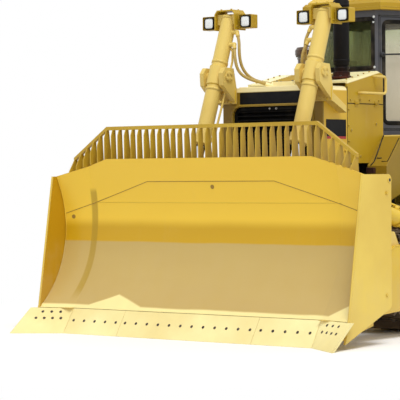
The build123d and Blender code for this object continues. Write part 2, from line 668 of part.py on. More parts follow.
def hood_side():
    """Side panel of the engine bay, its rear edge slanted above the fender's front."""
    y = GUARD_HALF_WIDTH
    return prism_y([(GUARD_REAR_X, HOOD_SIDE_BOTTOM_Z), (GUARD_REAR_X, HOOD_SEAM_Z),
                    (HOOD_REAR_X, HOOD_SEAM_Z),
                    (HOOD_REAR_X, HOOD_FLANK_Z), (HOOD_FLANK_X, HOOD_SIDE_BOTTOM_Z)], y - SHEET, y)


def radiator_core():
    """Radiator as one plain block behind the grille, on the hull's rails."""
    half = GUARD_HALF_WIDTH - GUARD_WALL
    return block(GUARD_FRONT_X - 330, GUARD_FRONT_X - 90, -half, half, RAIL_TOP_Z, GUARD_TOP_Z - GUARD_WALL)


def engine_block():
    """The engine as one plain block on the side rails."""
    upper = block(-230, 900, -500, 500, RAIL_TOP_Z, 2320)
    sump = block(-795, EQUALIZER_X - EQUALIZER_DEPTH / 2 - 15, GAP - SUMP_HALF_WIDTH, SUMP_HALF_WIDTH - GAP,
                 BELLY_Z + 36, RAIL_TOP_Z)
    return upper + sump


def hood_post(x, y, profile):
    """Turned piece that stands on the sloping hood, from (radius, height) points."""
    share = (GUARD_REAR_X - x) / (GUARD_REAR_X - HOOD_CREST_X)
    base = HOOD_FRONT_Z + share * (HOOD_CREST_Z - HOOD_FRONT_Z) - POST_SINK
    body = revolve(make_face(Polyline(*[(x + r, y, base + h) for r, h in profile], close=True)),
                   Axis((x, y, base), (0, 0, 1)), 360)
    line = hood_line()
    slope = (HOOD_CREST_Z - HOOD_FRONT_Z) / (HOOD_CREST_X - GUARD_REAR_X)
    reach = (HOOD_REAR_X, HOOD_CREST_Z + slope * (HOOD_REAR_X - HOOD_CREST_X))
    under = prism_y([(GUARD_REAR_X, HOOD_SEAM_Z), line[0], reach, (HOOD_REAR_X, HOOD_SEAM_Z)],
                    y - UNDER_HALF, y + UNDER_HALF)
    return body - under


def precleaner():
    """Air precleaner: a dark bowl on its short neck under a brimmed cap."""
    return hood_post(PRECLEANER_X, PRECLEANER_Y, [
        (0, 0), (90, 0), (90, 55), (122, 75), (128, 265), (160, 275), (160, 335), (135, 372), (0, 388)])


def exhaust_stack():
    """Exhaust pipe with its base collar, cut level at the top."""
    return hood_post(STACK_X, STACK_Y, [
        (0, 0), (105, 0), (105, 100), (82, 110), (82, 1180), (68, 1180), (68, 1000), (0, 1000)])


# ---------------------------------------------------------------- cab
def cab_outline(inset):
    """Half plan of the cab as (x, y) points from the front to the rear, moved inwards by an inset."""
    run, rise = CAB_FRONT_X - CAB_HINGE_X, CAB_HALF_WIDTH - CAB_FRONT_HALF_WIDTH
    slope = hypot(run, rise)
    front_y = CAB_FRONT_HALF_WIDTH - inset * (slope - rise) / run
    hinge_x = CAB_HINGE_X - inset * (slope - run) / rise
    return [(CAB_FRONT_X - inset, front_y), (hinge_x, CAB_HALF_WIDTH - inset),
            (CAB_REAR_X + inset, CAB_HALF_WIDTH - inset)]


def cab_plan(inset):
    """Full plan of the cab, moved inwards by an inset."""
    half = cab_outline(inset)
    return half + [(x, -y) for x, y in reversed(half)]


def door_frame():
    """Plane of the left door wall: origin at its front corner, X towards the hinge, Z outwards."""
    front, hinge = cab_outline(0)[:2]
    along = Vector(hinge[0] - front[0], hinge[1] - front[1], 0)
    return Plane(origin=(front[0], front[1], CAB_FLOOR_Z), x_dir=along,
                 z_dir=Vector(-along.Y, along.X, 0) * -1)


def wall_slab(s0, s1, h0, h1, t0, t1, corner=0.0):
    """Slab in the left door wall: s along the wall, h up from the floor, t outwards from its outer face."""
    plane = door_frame()
    up = plane.y_dir.Z
    slab = Pos((s0 + s1) / 2, up * (h0 + h1) / 2, (t0 + t1) / 2) * Box(s1 - s0, h1 - h0, t1 - t0)
    if corner:
        slab = fillet(slab.edges().filter_by(Axis.Z), corner)
    return plane * slab


def cab_shell():
    """Welded cab walls with the windscreen, door, side and rear openings cut through."""
    shell = prism_z(cab_plan(0), CAB_FLOOR_Z, CAB_EAVES_Z)
    shell -= prism_z(cab_plan(CAB_WALL), CAB_FLOOR_Z - 1, CAB_EAVES_Z + 1)
    screen = block(CAB_FRONT_X - CAB_WALL - 5, CAB_FRONT_X + 5, -SCREEN_HALF, SCREEN_HALF, SCREEN_BOTTOM_Z,
                   SCREEN_TOP_Z)
    shell -= fillet(screen.edges().filter_by(Axis.X), 40)
    hinges = hinge_knuckles([0, 2 * KNUCKLE], (DOOR_HINGE_S - 4, DOOR_WALL - 2))
    opening = wall_slab(DOOR_START, DOOR_END, DOOR_BOTTOM, DOOR_TOP, -CAB_WALL - 40, 40)
    shell -= opening
    shell -= mirror(opening, about=Plane.XZ)
    shell += hinges
    shell += mirror(hinges, about=Plane.XZ)
    for side in (-1, 1):
        pane = block(SIDE_WINDOW_REAR_X, SIDE_WINDOW_FRONT_X, side * (CAB_HALF_WIDTH - CAB_WALL - 5),
                     side * (CAB_HALF_WIDTH + 5), WINDOW_BOTTOM_Z, SCREEN_TOP_Z)
        shell -= fillet(pane.edges().filter_by(Axis.Y), 50)
    rear = block(CAB_REAR_X - 5, CAB_REAR_X + CAB_WALL + 5, -REAR_WINDOW_HALF, REAR_WINDOW_HALF,
                 WINDOW_BOTTOM_Z, SCREEN_TOP_Z)
    return shell - fillet(rear.edges().filter_by(Axis.X), 50)


def cab_glass():
    """Fixed panes, set in the middle of the walls."""
    middle = CAB_WALL / 2
    x = CAB_FRONT_X - middle
    screen = block(x - GLASS / 2, x + GLASS / 2, -SCREEN_HALF, SCREEN_HALF, SCREEN_BOTTOM_Z, SCREEN_TOP_Z)
    panes = [fillet(screen.edges().filter_by(Axis.X), 40)]
    for side in (-1, 1):
        y = side * (CAB_HALF_WIDTH - middle)
        pane = block(SIDE_WINDOW_REAR_X, SIDE_WINDOW_FRONT_X, y - GLASS / 2, y + GLASS / 2,
                     WINDOW_BOTTOM_Z, SCREEN_TOP_Z)
        panes.append(fillet(pane.edges().filter_by(Axis.Y), 50))
    x = CAB_REAR_X + middle
    rear = block(x - GLASS / 2, x + GLASS / 2, -REAR_WINDOW_HALF, REAR_WINDOW_HALF, WINDOW_BOTTOM_Z,
                 SCREEN_TOP_Z)
    panes.append(fillet(rear.edges().filter_by(Axis.X), 50))
    return panes


def cab_door():
    """Left door as a whole panel of wall thickness with its window cut."""
    leaf = wall_slab(DOOR_START + DOOR_GAP, DOOR_END - DOOR_GAP, DOOR_BOTTOM + DOOR_GAP, DOOR_TOP - DOOR_GAP,
                     -CAB_WALL, 0, 30)
    window = wall_slab(*DOOR_WINDOW, -CAB_WALL - 5, 5, 60)
    return leaf - window + hinge_knuckles([KNUCKLE], (DOOR_HINGE_S - 110, DOOR_HINGE_S - 4))


def hinge_knuckles(offset, strap):
    """Knuckles on the hinge line at both hinge heights, with a strap on a wall or on the door."""
    plane = door_frame()
    up = plane.y_dir.Z
    shape = Part()
    for h in DOOR_HINGE_HEIGHTS:
        for low in offset:
            z0, z1 = h + low, h + low + KNUCKLE - GAP
            pin = Rot(90, 0, 0) * Cylinder(KNUCKLE_RADIUS, z1 - z0)
            pin = Pos(DOOR_HINGE_S, up * (z0 + z1) / 2, DOOR_HINGE_OUT) * pin
            s0, s1 = strap
            leaf = Pos((s0 + s1) / 2, up * (z0 + z1) / 2, 6) * Box(abs(s1 - s0), z1 - z0, 12)
            shape += plane * pin
            shape += plane * leaf
    return shape


def door_glass():
    """Pane of the left door."""
    return wall_slab(*DOOR_WINDOW, -CAB_WALL / 2 - GLASS / 2, -CAB_WALL / 2 + GLASS / 2, 60)


def cab_floor():
    """Floor plate on its sill, carried by the hull's case."""
    plate = prism_z(cab_plan(0), CAB_FLOOR_Z - 60, CAB_FLOOR_Z)
    return plate + block(CAB_REAR_X + 50, -250, -560, 560, 1980, CAB_FLOOR_Z - 60)


def cab_roof():
    """Roof slab that overhangs the walls."""
    over = 70
    half = [(CAB_FRONT_X + over, CAB_FRONT_HALF_WIDTH + over + 60), (CAB_HINGE_X + 60, CAB_HALF_WIDTH + over),
            (CAB_REAR_X - over, CAB_HALF_WIDTH + over)]
    plan = half + [(x, -y) for x, y in reversed(half)]
    roof = prism_z(plan, CAB_EAVES_Z, ROOF_TOP_Z)
    return chamfer([e for e in roof.edges() if e.center().Z > ROOF_TOP_Z - 1], 35)


def rollover_frame():
    """Two posts behind the cab with the cross member over the roof's rear."""
    shape = block(POST_X - 110, POST_X + 100, -POST_Y - 90, POST_Y + 90, ROOF_TOP_Z + 40, CANOPY_TOP_Z)
    for side in (-1, 1):
        shape += block(POST_X - 100, POST_X + 90, side * (POST_Y - 90), side * (POST_Y + 90), FENDER_TOP_Z,
                       CANOPY_TOP_Z - 20)
    shape += prism_y([(POST_X, ROOF_TOP_Z), (POST_X, CANOPY_TOP_Z - 30), (-500, ROOF_TOP_Z + 180),
                      (-260, ROOF_TOP_Z + 60),
                      (-260, ROOF_TOP_Z)], -CAB_HALF_WIDTH, CAB_HALF_WIDTH)
    return shape


def operator_chair():
    """Chair on its pedestal, as cushions and backrest."""
    shape = block(-1000, -640, -180, 180, CAB_FLOOR_Z, CAB_FLOOR_Z + 330)
    shape += block(-1080, -540, -260, 260, CAB_FLOOR_Z + 330, CAB_FLOOR_Z + 470)
    shape += prism_y([(-1080, CAB_FLOOR_Z + 400), (-1200, CAB_FLOOR_Z + 1150), (-1100, CAB_FLOOR_Z + 1150),
                      (-950, CAB_FLOOR_Z + 460)], -240, 240)
    return shape


def console():
    """Dashboard under the windscreen and the two side consoles."""
    dash = prism_y([(CAB_FRONT_X - CAB_WALL, CAB_FLOOR_Z), (CAB_FRONT_X - CAB_WALL, SCREEN_BOTTOM_Z - 40),
                    (-80, SCREEN_BOTTOM_Z - 60), (-180, SCREEN_BOTTOM_Z - 260), (-60, CAB_FLOOR_Z)],
                   -380, 380)
    left = block(-1000, -560, 300, 420, CAB_FLOOR_Z, CAB_FLOOR_Z + 600)
    return [dash, left, mirror(left, about=Plane.XZ)]


# ---------------------------------------------------------------- fenders, tank, rails, hitch


def fender_line(lowered=0.0):
    """Top line of the fender as (x, z) points from its front tip to its rear, lowered by a distance."""
    return [(FENDER_TIP_X, FENDER_TIP_Z - lowered), (FENDER_NOSE_X, FENDER_LOW_Z - lowered),
            (FENDER_RAMP_X, FENDER_LOW_Z - lowered), (FENDER_STEP_X, FENDER_TOP_Z - lowered),
            (FENDER_REAR_X, FENDER_TOP_Z - lowered)]


def fender():
    """Slanted nose beside the hood, a walkway beside the cab and the deck over the sprocket."""
    top = fender_line()
    sheet = prism_y(top + list(reversed(fender_line(SHEET))), GUARD_HALF_WIDTH + GAP, FENDER_OUTER_Y)
    nose_gap = block(FENDER_NOSE_X, FENDER_TIP_X + SHEET, FENDER_BOX_Y, FENDER_OUTER_Y + 1,
                     FENDER_TIP_Z - 2 * SHEET,
                     FENDER_LOW_Z + 1)
    lip = prism_y(top[1:] + list(reversed(fender_line(FENDER_LIP)[1:])), FENDER_OUTER_Y - SHEET,
                  FENDER_OUTER_Y)
    skirt = prism_y([(FENDER_TIP_X, FENDER_SKIRT_Z), *top[:3],
                     (FENDER_RAMP_X, FENDER_LOW_Z - FENDER_SKIRT_REAR)],
                    FENDER_BOX_Y - SHEET, FENDER_BOX_Y)
    front = block(FENDER_TIP_X - SHEET, FENDER_TIP_X, GUARD_HALF_WIDTH + GAP, FENDER_BOX_Y, FENDER_SKIRT_Z,
                  FENDER_TIP_Z)
    front_y = cab_outline(-DOOR_GAP)[0][1]
    hinge_x, side_y = cab_outline(-DOOR_GAP)[1]
    x0 = CAB_FRONT_X + DOOR_GAP
    beside_cab = prism_z([(x0, 0), (x0, front_y), (hinge_x, side_y), (FENDER_REAR_X - 1, side_y),
                          (FENDER_REAR_X - 1, 0)], FENDER_TIP_Z, FENDER_TOP_Z + 1)
    walk = block(x0, HOOD_REAR_X - DOOR_GAP, front_y, GUARD_HALF_WIDTH + SHEET, FENDER_LOW_Z - SHEET,
                 FENDER_LOW_Z)
    return sheet - nose_gap - beside_cab + walk + lip + skirt + front


def fuel_tank():
    """Rear tank between the fenders, its back slanted under."""
    outline = [(-1780, CASE_TOP_Z), (-1780, 3060), (-3150, 3060), (-3480, 2820), (-3480, 2250),
               (-3150, CASE_TOP_Z)]
    tank = prism_y(outline, -TANK_HALF_WIDTH, TANK_HALF_WIDTH)
    return fillet(tank.edges().filter_by(Axis.Y), 60)


def hydraulic_tank():
    """Oil tank on the right fender, behind the door."""
    tank = block(-2700, -1850, -FENDER_OUTER_Y + 60, -FENDER_INNER_Y - 20, FENDER_TOP_Z, FENDER_TOP_Z + 520)
    return fillet(tank.edges().filter_by(Axis.Z), 60)


def drawbar():
    """Rigid tow hitch: a block on the gear case with two ears and a pin hole."""
    base = prism_y([(-3050, 700), (-3050, 1250), (-3350, 1150), (-3450, 1020), (-3450, 760)], -330, 330)
    for z in (HITCH_Z + 70, HITCH_Z - 130):
        base += prism_z([(-3440, -170), (REAR_X + 90, -130), (REAR_X, -60), (REAR_X, 60), (REAR_X + 90, 130),
                         (-3440, 170)], z, z + 60)
    return base - bar((HITCH_PIN_X, 0, 700), (HITCH_PIN_X, 0, 1200), HITCH_PIN_RADIUS)


def handrails():
    """Grab rails, a bent loop on each flank of the hood's rear."""
    rails = []
    for side in (1, -1):
        wall, out = side * (GUARD_HALF_WIDTH + GAP), side * RAIL_Y
        path = FilletPolyline((RAIL_TOP_X, wall, RAIL_HIGH_Z), (RAIL_TOP_X, out, RAIL_HIGH_Z),
                              (RAIL_REAR_X, out, RAIL_HIGH_Z), (RAIL_REAR_X, out, RAIL_LOW_Z),
                              (RAIL_FRONT_X, out, RAIL_LOW_Z), (RAIL_FRONT_X, wall, RAIL_LOW_Z),
                              radius=RAIL_BEND)
        rails.append(sweep(Plane(origin=path @ 0, z_dir=path % 0) * Circle(RAIL_RADIUS), path=path))
    return rails


# ---------------------------------------------------------------- blade
def circle_through(a, b, c):
    """Centre (x, z) and radius of the circle through three points."""
    (ax, az), (bx, bz), (cx, cz) = a, b, c
    d = 2 * (ax * (bz - cz) + bx * (cz - az) + cx * (az - bz))
    sa, sb, sc = ax * ax + az * az, bx * bx + bz * bz, cx * cx + cz * cz
    x = (sa * (bz - cz) + sb * (cz - az) + sc * (az - bz)) / d
    z = (sa * (cx - bx) + sb * (ax - cx) + sc * (bx - ax)) / d
    return (x, z), hypot(ax - x, az - z)


MAIN_CURVE = circle_through((BLADE_TOP_X, BLADE_TOP_Z), (BLADE_DEEP_X, BLADE_DEEP_Z),
                            (BLADE_FOOT_X, BLADE_FOOT_Z))


def moldboard_x(z):
    """X of the middle section's front face at a height."""
    (cx, cz), r = MAIN_CURVE
    return cx - sqrt(r * r - (z - cz) ** 2)


def blade_section(y, top, deep, foot):
    """Closed section of the moldboard's skin at one y."""
    (tx, tz), (dx, dz), (fx, fz) = top, deep, foot
    front = ThreePointArc((tx, y, tz), (dx, y, dz), (fx, y, fz))
    back = ThreePointArc((fx - SKIN, y, fz), (dx - SKIN, y, dz), (tx - SKIN, y, tz))
    lines = [Line(front @ 1, back @ 0), Line(back @ 1, front @ 0)]
    return make_face(Wire([front.edge(), lines[0].edge(), back.edge(), lines[1].edge()]))


def fold_top_z():
    """Height of the skin's top edge at the wing's fold."""
    share = (BLADE_FOLD_Y - BLADE_KINK_Y) / (BLADE_SIDE_Y - BLADE_KINK_Y)
    return BLADE_TOP_Z + share * (BLADE_CORNER_Z - BLADE_TOP_Z)


def blade_sections():
    """Left half's sections of the skin's front, as (y, (top, deepest and foot points))."""
    middle = ((moldboard_x(BLADE_TOP_Z), BLADE_TOP_Z), (moldboard_x(BLADE_DEEP_Z), BLADE_DEEP_Z),
              (BLADE_FOOT_X, BLADE_FOOT_Z))
    fold = ((moldboard_x(fold_top_z()), fold_top_z()), middle[1], middle[2])
    side = ((SIDE_TOP_X, BLADE_CORNER_Z), (SIDE_DEEP_X, BLADE_DEEP_Z), (SIDE_FOOT_X, BLADE_FOOT_Z))
    return [(BLADE_SIDE_Y, side), (BLADE_FOLD_Y, fold), (BLADE_KINK_Y, middle)]


def moldboard():
    """Curved skin: a straight middle and two short wings that turn forwards."""
    table = blade_sections()
    sections = [blade_section(y, *s) for y, s in table]
    sections += [blade_section(-y, *s) for y, s in reversed(table)]
    return loft(sections, ruled=True)


def side_plates():
    """Flat end plates, wide behind the skin, with a cut lower rear corner."""
    outline = [(3110, BLADE_CORNER_Z), (3365, 330), (3455, 60), (2600, 400), (2565, 440),
               (2560, BLADE_CORNER_Z)]
    plate = prism_y(outline, BLADE_SIDE_Y, BLADE_SIDE_Y + SIDE_PLATE)
    corner = [e for e in plate.edges().filter_by(Axis.Y) if e.center().X < 2570 and e.center().Z > 1800]
    plate = fillet(corner, 60) - end_bit(EDGE_TOP_Z + 1, EDGE_THICKNESS + 3)
    return [plate, mirror(plate, about=Plane.XZ)]


def edge_x(z):
    """X of the cutting edge's front face at a height."""
    return EDGE_TIP_X + (BLADE_FOOT_X - EDGE_TIP_X) * z / BLADE_FOOT_Z


def cutting_edges():
    """Three flat edge plates and two end bits that reach forwards and outwards."""
    top, t = BLADE_FOOT_Z - 4, EDGE_THICKNESS
    outline = [(edge_x(0), 0), (edge_x(top), top), (edge_x(top) - t, top), (edge_x(0) - t, 0)]
    play = 2.0
    spans = [(-BLADE_FOLD_Y + play, -EDGE_SEAM_Y - play), (-EDGE_SEAM_Y + play, EDGE_SEAM_Y - play),
             (EDGE_SEAM_Y + play, BLADE_FOLD_Y - play)]
    plates = [prism_y(outline, a, b) for a, b in spans]
    bit = end_bit(top, t)
    return plates + [bit, mirror(bit, about=Plane.XZ)]


def end_bit(top, t):
    """Left end bit: twisted plate of a thickness from the cutting edge's end to the outer tip."""
    y0 = BLADE_FOLD_Y + 2
    y1 = END_BIT_TIP_Y

    def section(y, foot_x, top_x):
        points = [(foot_x, y, 0), (top_x, y, top), (top_x - t, y, top), (foot_x - t, y, 0)]
        return make_face(Polyline(*points, close=True))

    return loft([section(y0, edge_x(0), edge_x(top)), section(y1, FRONT_X, END_BIT_TOP_X)], ruled=True)


def ahead_of_back(clearance):
    """Everything in front of the skin's back face, with a clearance, to cut what stands behind it."""
    far = 4200.0
    t = SKIN + clearance

    def section(y, top, deep, foot):
        (tx, tz), (dx, dz), (fx, fz) = top, deep, foot
        back = ThreePointArc((fx - t, y, fz), (dx - t, y, dz), (tx - t, y, tz))
        lines = Polyline(back @ 1, (far, y, tz), (far, y, fz), back @ 0)
        return make_face(Wire(back.edges() + lines.edges()))

    table = blade_sections()
    sections = [section(y, *s) for y, s in table] + [section(-y, *s) for y, s in reversed(table)]
    return loft(sections, ruled=True)


def wing_x(y, foot):
    """Front face of the end bit at a y, at its foot or its top."""
    share = (y - BLADE_FOLD_Y - 2) / (END_BIT_TIP_Y - BLADE_FOLD_Y - 2)
    inner = edge_x(0) if foot else edge_x(EDGE_TOP_Z)
    outer = FRONT_X if foot else END_BIT_TOP_X
    return inner + share * (outer - inner)


def wing_foot():
    """Support behind the left end bit, from the fold to the side plate."""
    t = EDGE_THICKNESS + GAP

    def section(y):
        slope = (wing_x(y, False) - wing_x(y, True)) / EDGE_TOP_Z
        low = 70
        points = [(wing_x(y, True) - t + slope * low, y, low), (wing_x(y, False) - t, y, EDGE_TOP_Z),
                  (2880, y, EDGE_TOP_Z), (2880, y, 230)]
        return make_face(Polyline(*points, close=True))

    return loft([section(BLADE_FOLD_Y + 2), section(BLADE_SIDE_Y)], ruled=True)


def lug(x, z, y, half_gap, radius, pin_radius, root):
    """Two ears with a bore, from a root outline to a rounded end round the pin."""
    ears = []
    for side in (-1, 1):
        y0 = y + side * half_gap
        y1 = y0 + side * EAR_THICKNESS
        ear = prism_y(root, y0, y1) + axle(x, z, radius, y0, y1)
        ears.append(ear - axle(x, z, pin_radius, min(y0, y1) - 1, max(y0, y1) + 1))
    return ears


def blade_back():
    """Foot beam, top beam and ribs behind the skin, clear of the lift cylinders at full lift."""
    toe = edge_x(BEAM_BOTTOM_Z) - EDGE_THICKNESS
    foot = [(edge_x(EDGE_TOP_Z) - EDGE_THICKNESS, EDGE_TOP_Z), (toe, BEAM_BOTTOM_Z),
            (toe - 70, BEAM_BOTTOM_Z),
            (BEAM_BACK_X, 230), (BEAM_BACK_X, 560), (3197, 640)]
    shape = prism_y(foot, -BLADE_FOLD_Y, BLADE_FOLD_Y)
    upper = [(BEAM_BACK_X, EDGE_TOP_Z), (BEAM_BACK_X, 560), (3300, 640), (3300, EDGE_TOP_Z)]
    top = [(3200, 1580), (BACK_CLEAR_X + 10, 1600), (BACK_CLEAR_X, 1640), (BACK_CLEAR_X, 1820),
           (BACK_CLEAR_X + 40, 1870), (3200, 1870)]
    half = wing_foot()
    half += prism_y(upper, BLADE_FOLD_Y, BLADE_SIDE_Y)
    half += prism_y(top, -1, BLADE_SIDE_Y)
    rib = [(3200, 600), (BEAM_BACK_X, 540), (BACK_CLEAR_X - 10, 720), (BACK_CLEAR_X - 10, 1620), (3200, 1620)]
    for y in RIB_PLACES:
        half += prism_y(rib, y - RIB_HALF, y + RIB_HALF)
    shape += half
    shape += mirror(half, about=Plane.XZ)
    return shape - ahead_of_back(GAP)


def blade_lugs(back):
    """Pairs of ears behind the blade for the lift rods, the push arms and the tilt rods."""
    lift = lug(LIFT_EYE_X, LIFT_EYE_Z, LIFT_Y, EYE_HALF_WIDTH + SIDE_PLAY, 125, LIFT_PIN_RADIUS,
               [(3200, 600), (BEAM_BACK_X, 540), (LIFT_EYE_X - 70, LIFT_EYE_Z - 100),
                (LIFT_EYE_X - 90, LIFT_EYE_Z + 86), (LIFT_EYE_X + 40, LIFT_EYE_Z + 118), (2860, 1240),
                (3200, 1240)])
    arm = lug(ARM_PIN_X, ARM_PIN_Z, ARM_Y, ARM_WIDTH / 2 + SIDE_PLAY, 150, ARM_PIN_RADIUS,
              [(BEAM_BACK_X + 5, 235), (ARM_PIN_X - 30, ARM_PIN_Z - 147), (ARM_PIN_X - 60, ARM_PIN_Z + 137),
               (BEAM_BACK_X + 5, 640)])
    tilt = lug(TILT_EYE_X, TILT_EYE_Z, ARM_Y, EYE_HALF_WIDTH + SIDE_PLAY, 90, TILT_PIN_RADIUS,
               [(3200, 1440), (2790, 1470), (TILT_EYE_X - 10, TILT_EYE_Z - 89),
                (TILT_EYE_X + 10, TILT_EYE_Z + 89),
                (2790, 1850), (3200, 1850)])
    ahead = ahead_of_back(GAP)
    ears = [ear - ahead - back for pair in (lift, arm, tilt) for ear in pair]
    return ears + mirrored(ears)


def blade_top_z(y):
    """Height of the blade's top edge at a y."""
    y = abs(y)
    if y <= BLADE_KINK_Y:
        return BLADE_TOP_Z
    share = (y - BLADE_KINK_Y) / (BLADE_SIDE_Y - BLADE_KINK_Y)
    return BLADE_TOP_Z + share * (BLADE_CORNER_Z - BLADE_TOP_Z)


def spill_top_z(y):
    """Height of the spill guard's rail at a y."""
    y = abs(y)
    if y <= SPILL_KINK_Y:
        return SPILL_TOP_Z
    share = (y - SPILL_KINK_Y) / (SPILL_END_Y - SPILL_KINK_Y)
    return SPILL_TOP_Z + share * (SPILL_END_Z - SPILL_TOP_Z)


def spill_guard():
    """Rail on upright flat bars along the blade's top, every third bar a gusset."""
    outer = [(SPILL_END_Y, SPILL_END_Z), (SPILL_KINK_Y, SPILL_TOP_Z), (-SPILL_KINK_Y, SPILL_TOP_Z),
             (-SPILL_END_Y, SPILL_END_Z)]
    inner = [(-SPILL_END_Y, SPILL_END_Z - SPILL_RAIL), (-SPILL_KINK_Y, SPILL_TOP_Z - SPILL_RAIL),
             (SPILL_KINK_Y, SPILL_TOP_Z - SPILL_RAIL), (SPILL_END_Y, SPILL_END_Z - SPILL_RAIL)]
    guard = prism_x(outer + inner, SPILL_X - 22, SPILL_X + 22)
    step = 2 * SPILL_KINK_Y / SPILL_SPACES
    count = SPILL_SPACES // 2 + int((SPILL_END_Y - SPILL_KINK_Y) / step)
    for i in range(-count, count + 1):
        y = i * step
        head = spill_top_z(abs(y) + 6) - SPILL_RAIL / 2
        foot = blade_top_z(y) - 90
        back = SPILL_X - (80 if i % 3 == 0 else 45)
        outline = [(SPILL_X - 20, head), (SPILL_X + 20, head), (SPILL_X + 190, foot), (back, foot)]
        guard += prism_y(outline, y - 6, y + 6)
    return guard - ahead_of_back(GAP) - front_of_top()


def front_of_top():
    """Space in front of the blade's top edge, so that the spill guard's bars rise behind it."""
    far = BLADE_TOP_X + 500
    corner = (BLADE_TOP_X + 100 - SKIN, BLADE_SIDE_Y)
    kink = (BLADE_TOP_X - SKIN, BLADE_KINK_Y)
    half = [(far, BLADE_SIDE_Y), corner, kink]
    return prism_z(half + [(x, -y) for x, y in reversed(half)], BLADE_CORNER_Z - 300, SPILL_TOP_Z + 10)


# ---------------------------------------------------------------- arms and cylinders
def toward(start, end):
    """Unit vector and distance from one (x, z) place to another."""
    length = hypot(end[0] - start[0], end[1] - start[1])
    return ((end[0] - start[0]) / length, (end[1] - start[1]) / length), length


def along(start, direction, distance, y):
    """Point at a distance from an (x, z) place, at a y."""
    return start[0] + direction[0] * distance, y, start[1] + direction[1] * distance


def push_arm():
    """Box arm from the roller frame's trunnion to the blade's foot."""
    outline = [(ARM_PIVOT_X - 190, ARM_PIVOT_Z - 120), (ARM_PIVOT_X - 190, ARM_PIVOT_Z + 150),
               (ARM_PIVOT_X - 90, ARM_PIVOT_Z + 240), (1150, 1080), (1900, 1080), (2450, 760),
               (ARM_PIN_X, ARM_PIN_Z + 110), (ARM_PIN_X, ARM_PIN_Z - 110), (2300, 290), (600, 400),
               (ARM_PIVOT_X - 90, ARM_PIVOT_Z - 220)]
    arm = prism_y(outline, ARM_INNER_Y, ARM_INNER_Y + ARM_WIDTH)
    arm += axle(ARM_PIN_X, ARM_PIN_Z, 112, ARM_INNER_Y, ARM_INNER_Y + ARM_WIDTH)
    arm -= axle(ARM_PIVOT_X, ARM_PIVOT_Z, TRUNNION_RADIUS + GAP, ARM_INNER_Y - 1,
                ARM_INNER_Y + ARM_WIDTH - 30)
    arm += lug(TILT_BASE_X, TILT_BASE_Z, ARM_Y, EYE_HALF_WIDTH + SIDE_PLAY, 90, TILT_PIN_RADIUS - 1,
               [(TILT_BASE_X - 190, 1070), (TILT_BASE_X - 85, TILT_BASE_Z + 30),
                (TILT_BASE_X + 85, TILT_BASE_Z + 30),
                (TILT_BASE_X + 190, 1070)])
    pin = EYE_HALF_WIDTH + SIDE_PLAY + EAR_THICKNESS
    arm += axle(TILT_BASE_X, TILT_BASE_Z, TILT_PIN_RADIUS, ARM_Y - pin, ARM_Y + pin)
    reach = ARM_WIDTH / 2 + SIDE_PLAY + EAR_THICKNESS
    arm += axle(ARM_PIN_X, ARM_PIN_Z, ARM_PIN_RADIUS - GAP, ARM_Y - reach, ARM_Y + reach)
    return arm


def lift_barrel():
    """Left lift cylinder's barrel with its trunnion block, gland, lamp bracket and hose ports."""
    u, reach = toward(LIFT_TRUNNION, LIFT_EYE)
    y = LIFT_Y
    shape = bar(along(LIFT_TRUNNION, u, -LIFT_BARREL_ABOVE, y), along(LIFT_TRUNNION, u, LIFT_BARREL_BELOW, y),
                LIFT_BARREL_RADIUS)
    shape += bar(along(LIFT_TRUNNION, u, -120, y), along(LIFT_TRUNNION, u, 120, y), LIFT_TRUNNION_HALF)
    shape += bar(along(LIFT_TRUNNION, u, LIFT_BARREL_BELOW - 110, y),
                 along(LIFT_TRUNNION, u, LIFT_BARREL_BELOW, y),
                 LIFT_BARREL_RADIUS + 14)
    pin = LIFT_TRUNNION_HALF + SIDE_PLAY
    shape += axle(LIFT_TRUNNION_X, LIFT_TRUNNION_Z, LIFT_PIN_RADIUS, y - pin - 70, y + pin + 60)
    head = along(LIFT_TRUNNION, u, -LIFT_BARREL_ABOVE + 60, y)
    shape += block(head[0] - 100, head[0] + 40, y - 150, y + 150, head[2] - 40, head[2] + 90)
    shape += block(head[0] - 100, head[0] - 70, y - LAMP_OUT - 60, y + LAMP_OUT + 60, head[2] - 60,
                   head[2] + 10)
    for name, offset in HOSE_PORTS.items():
        elbow = hose_elbow(name)
        shape += bar(along(LIFT_TRUNNION, u, -offset, y), elbow, PORT_RADIUS)
        shape += Pos(*elbow) * Sphere(PORT_RADIUS)
        shape += bar(elbow, stepped(elbow, HOSE_LEAVES[name], ELBOW_LEG), PORT_RADIUS - 3)
    inner = reach - LIFT_ROD_LENGTH
    top = inner - LIFT_STROKE_IN - 25
    shape -= bar(along(LIFT_TRUNNION, u, top, y), along(LIFT_TRUNNION, u, LIFT_BARREL_BELOW + 1, y),
                 LIFT_ROD_RADIUS + GAP)
    return shape


def lamps():
    """Two square work lamps beside the left barrel's head."""
    u, _ = toward(LIFT_TRUNNION, LIFT_EYE)
    head = along(LIFT_TRUNNION, u, -LIFT_BARREL_ABOVE + 60, LIFT_Y)
    half = LAMP_SIZE / 2
    result = []
    for side in (-1, 1):
        y = LIFT_Y + side * LAMP_OUT
        box = block(head[0] - 70, head[0] + 50, y - half, y + half, head[2] - 100, head[2] + 90)
        result.append(fillet(box.edges().filter_by(Axis.X), 25))
    return result


def cylinder_rod(base, eye, length, radius, eye_radius, pin_radius, y):
    """Rod with the bored eye at its end."""
    u, reach = toward(base, eye)
    shape = bar(along(base, u, reach - length, y), along(base, u, reach - pin_radius - 5, y), radius)
    shape += axle(eye[0], eye[1], eye_radius, y - EYE_HALF_WIDTH, y + EYE_HALF_WIDTH)
    return shape - axle(eye[0], eye[1], pin_radius, y - EYE_HALF_WIDTH - 1, y + EYE_HALF_WIDTH + 1)


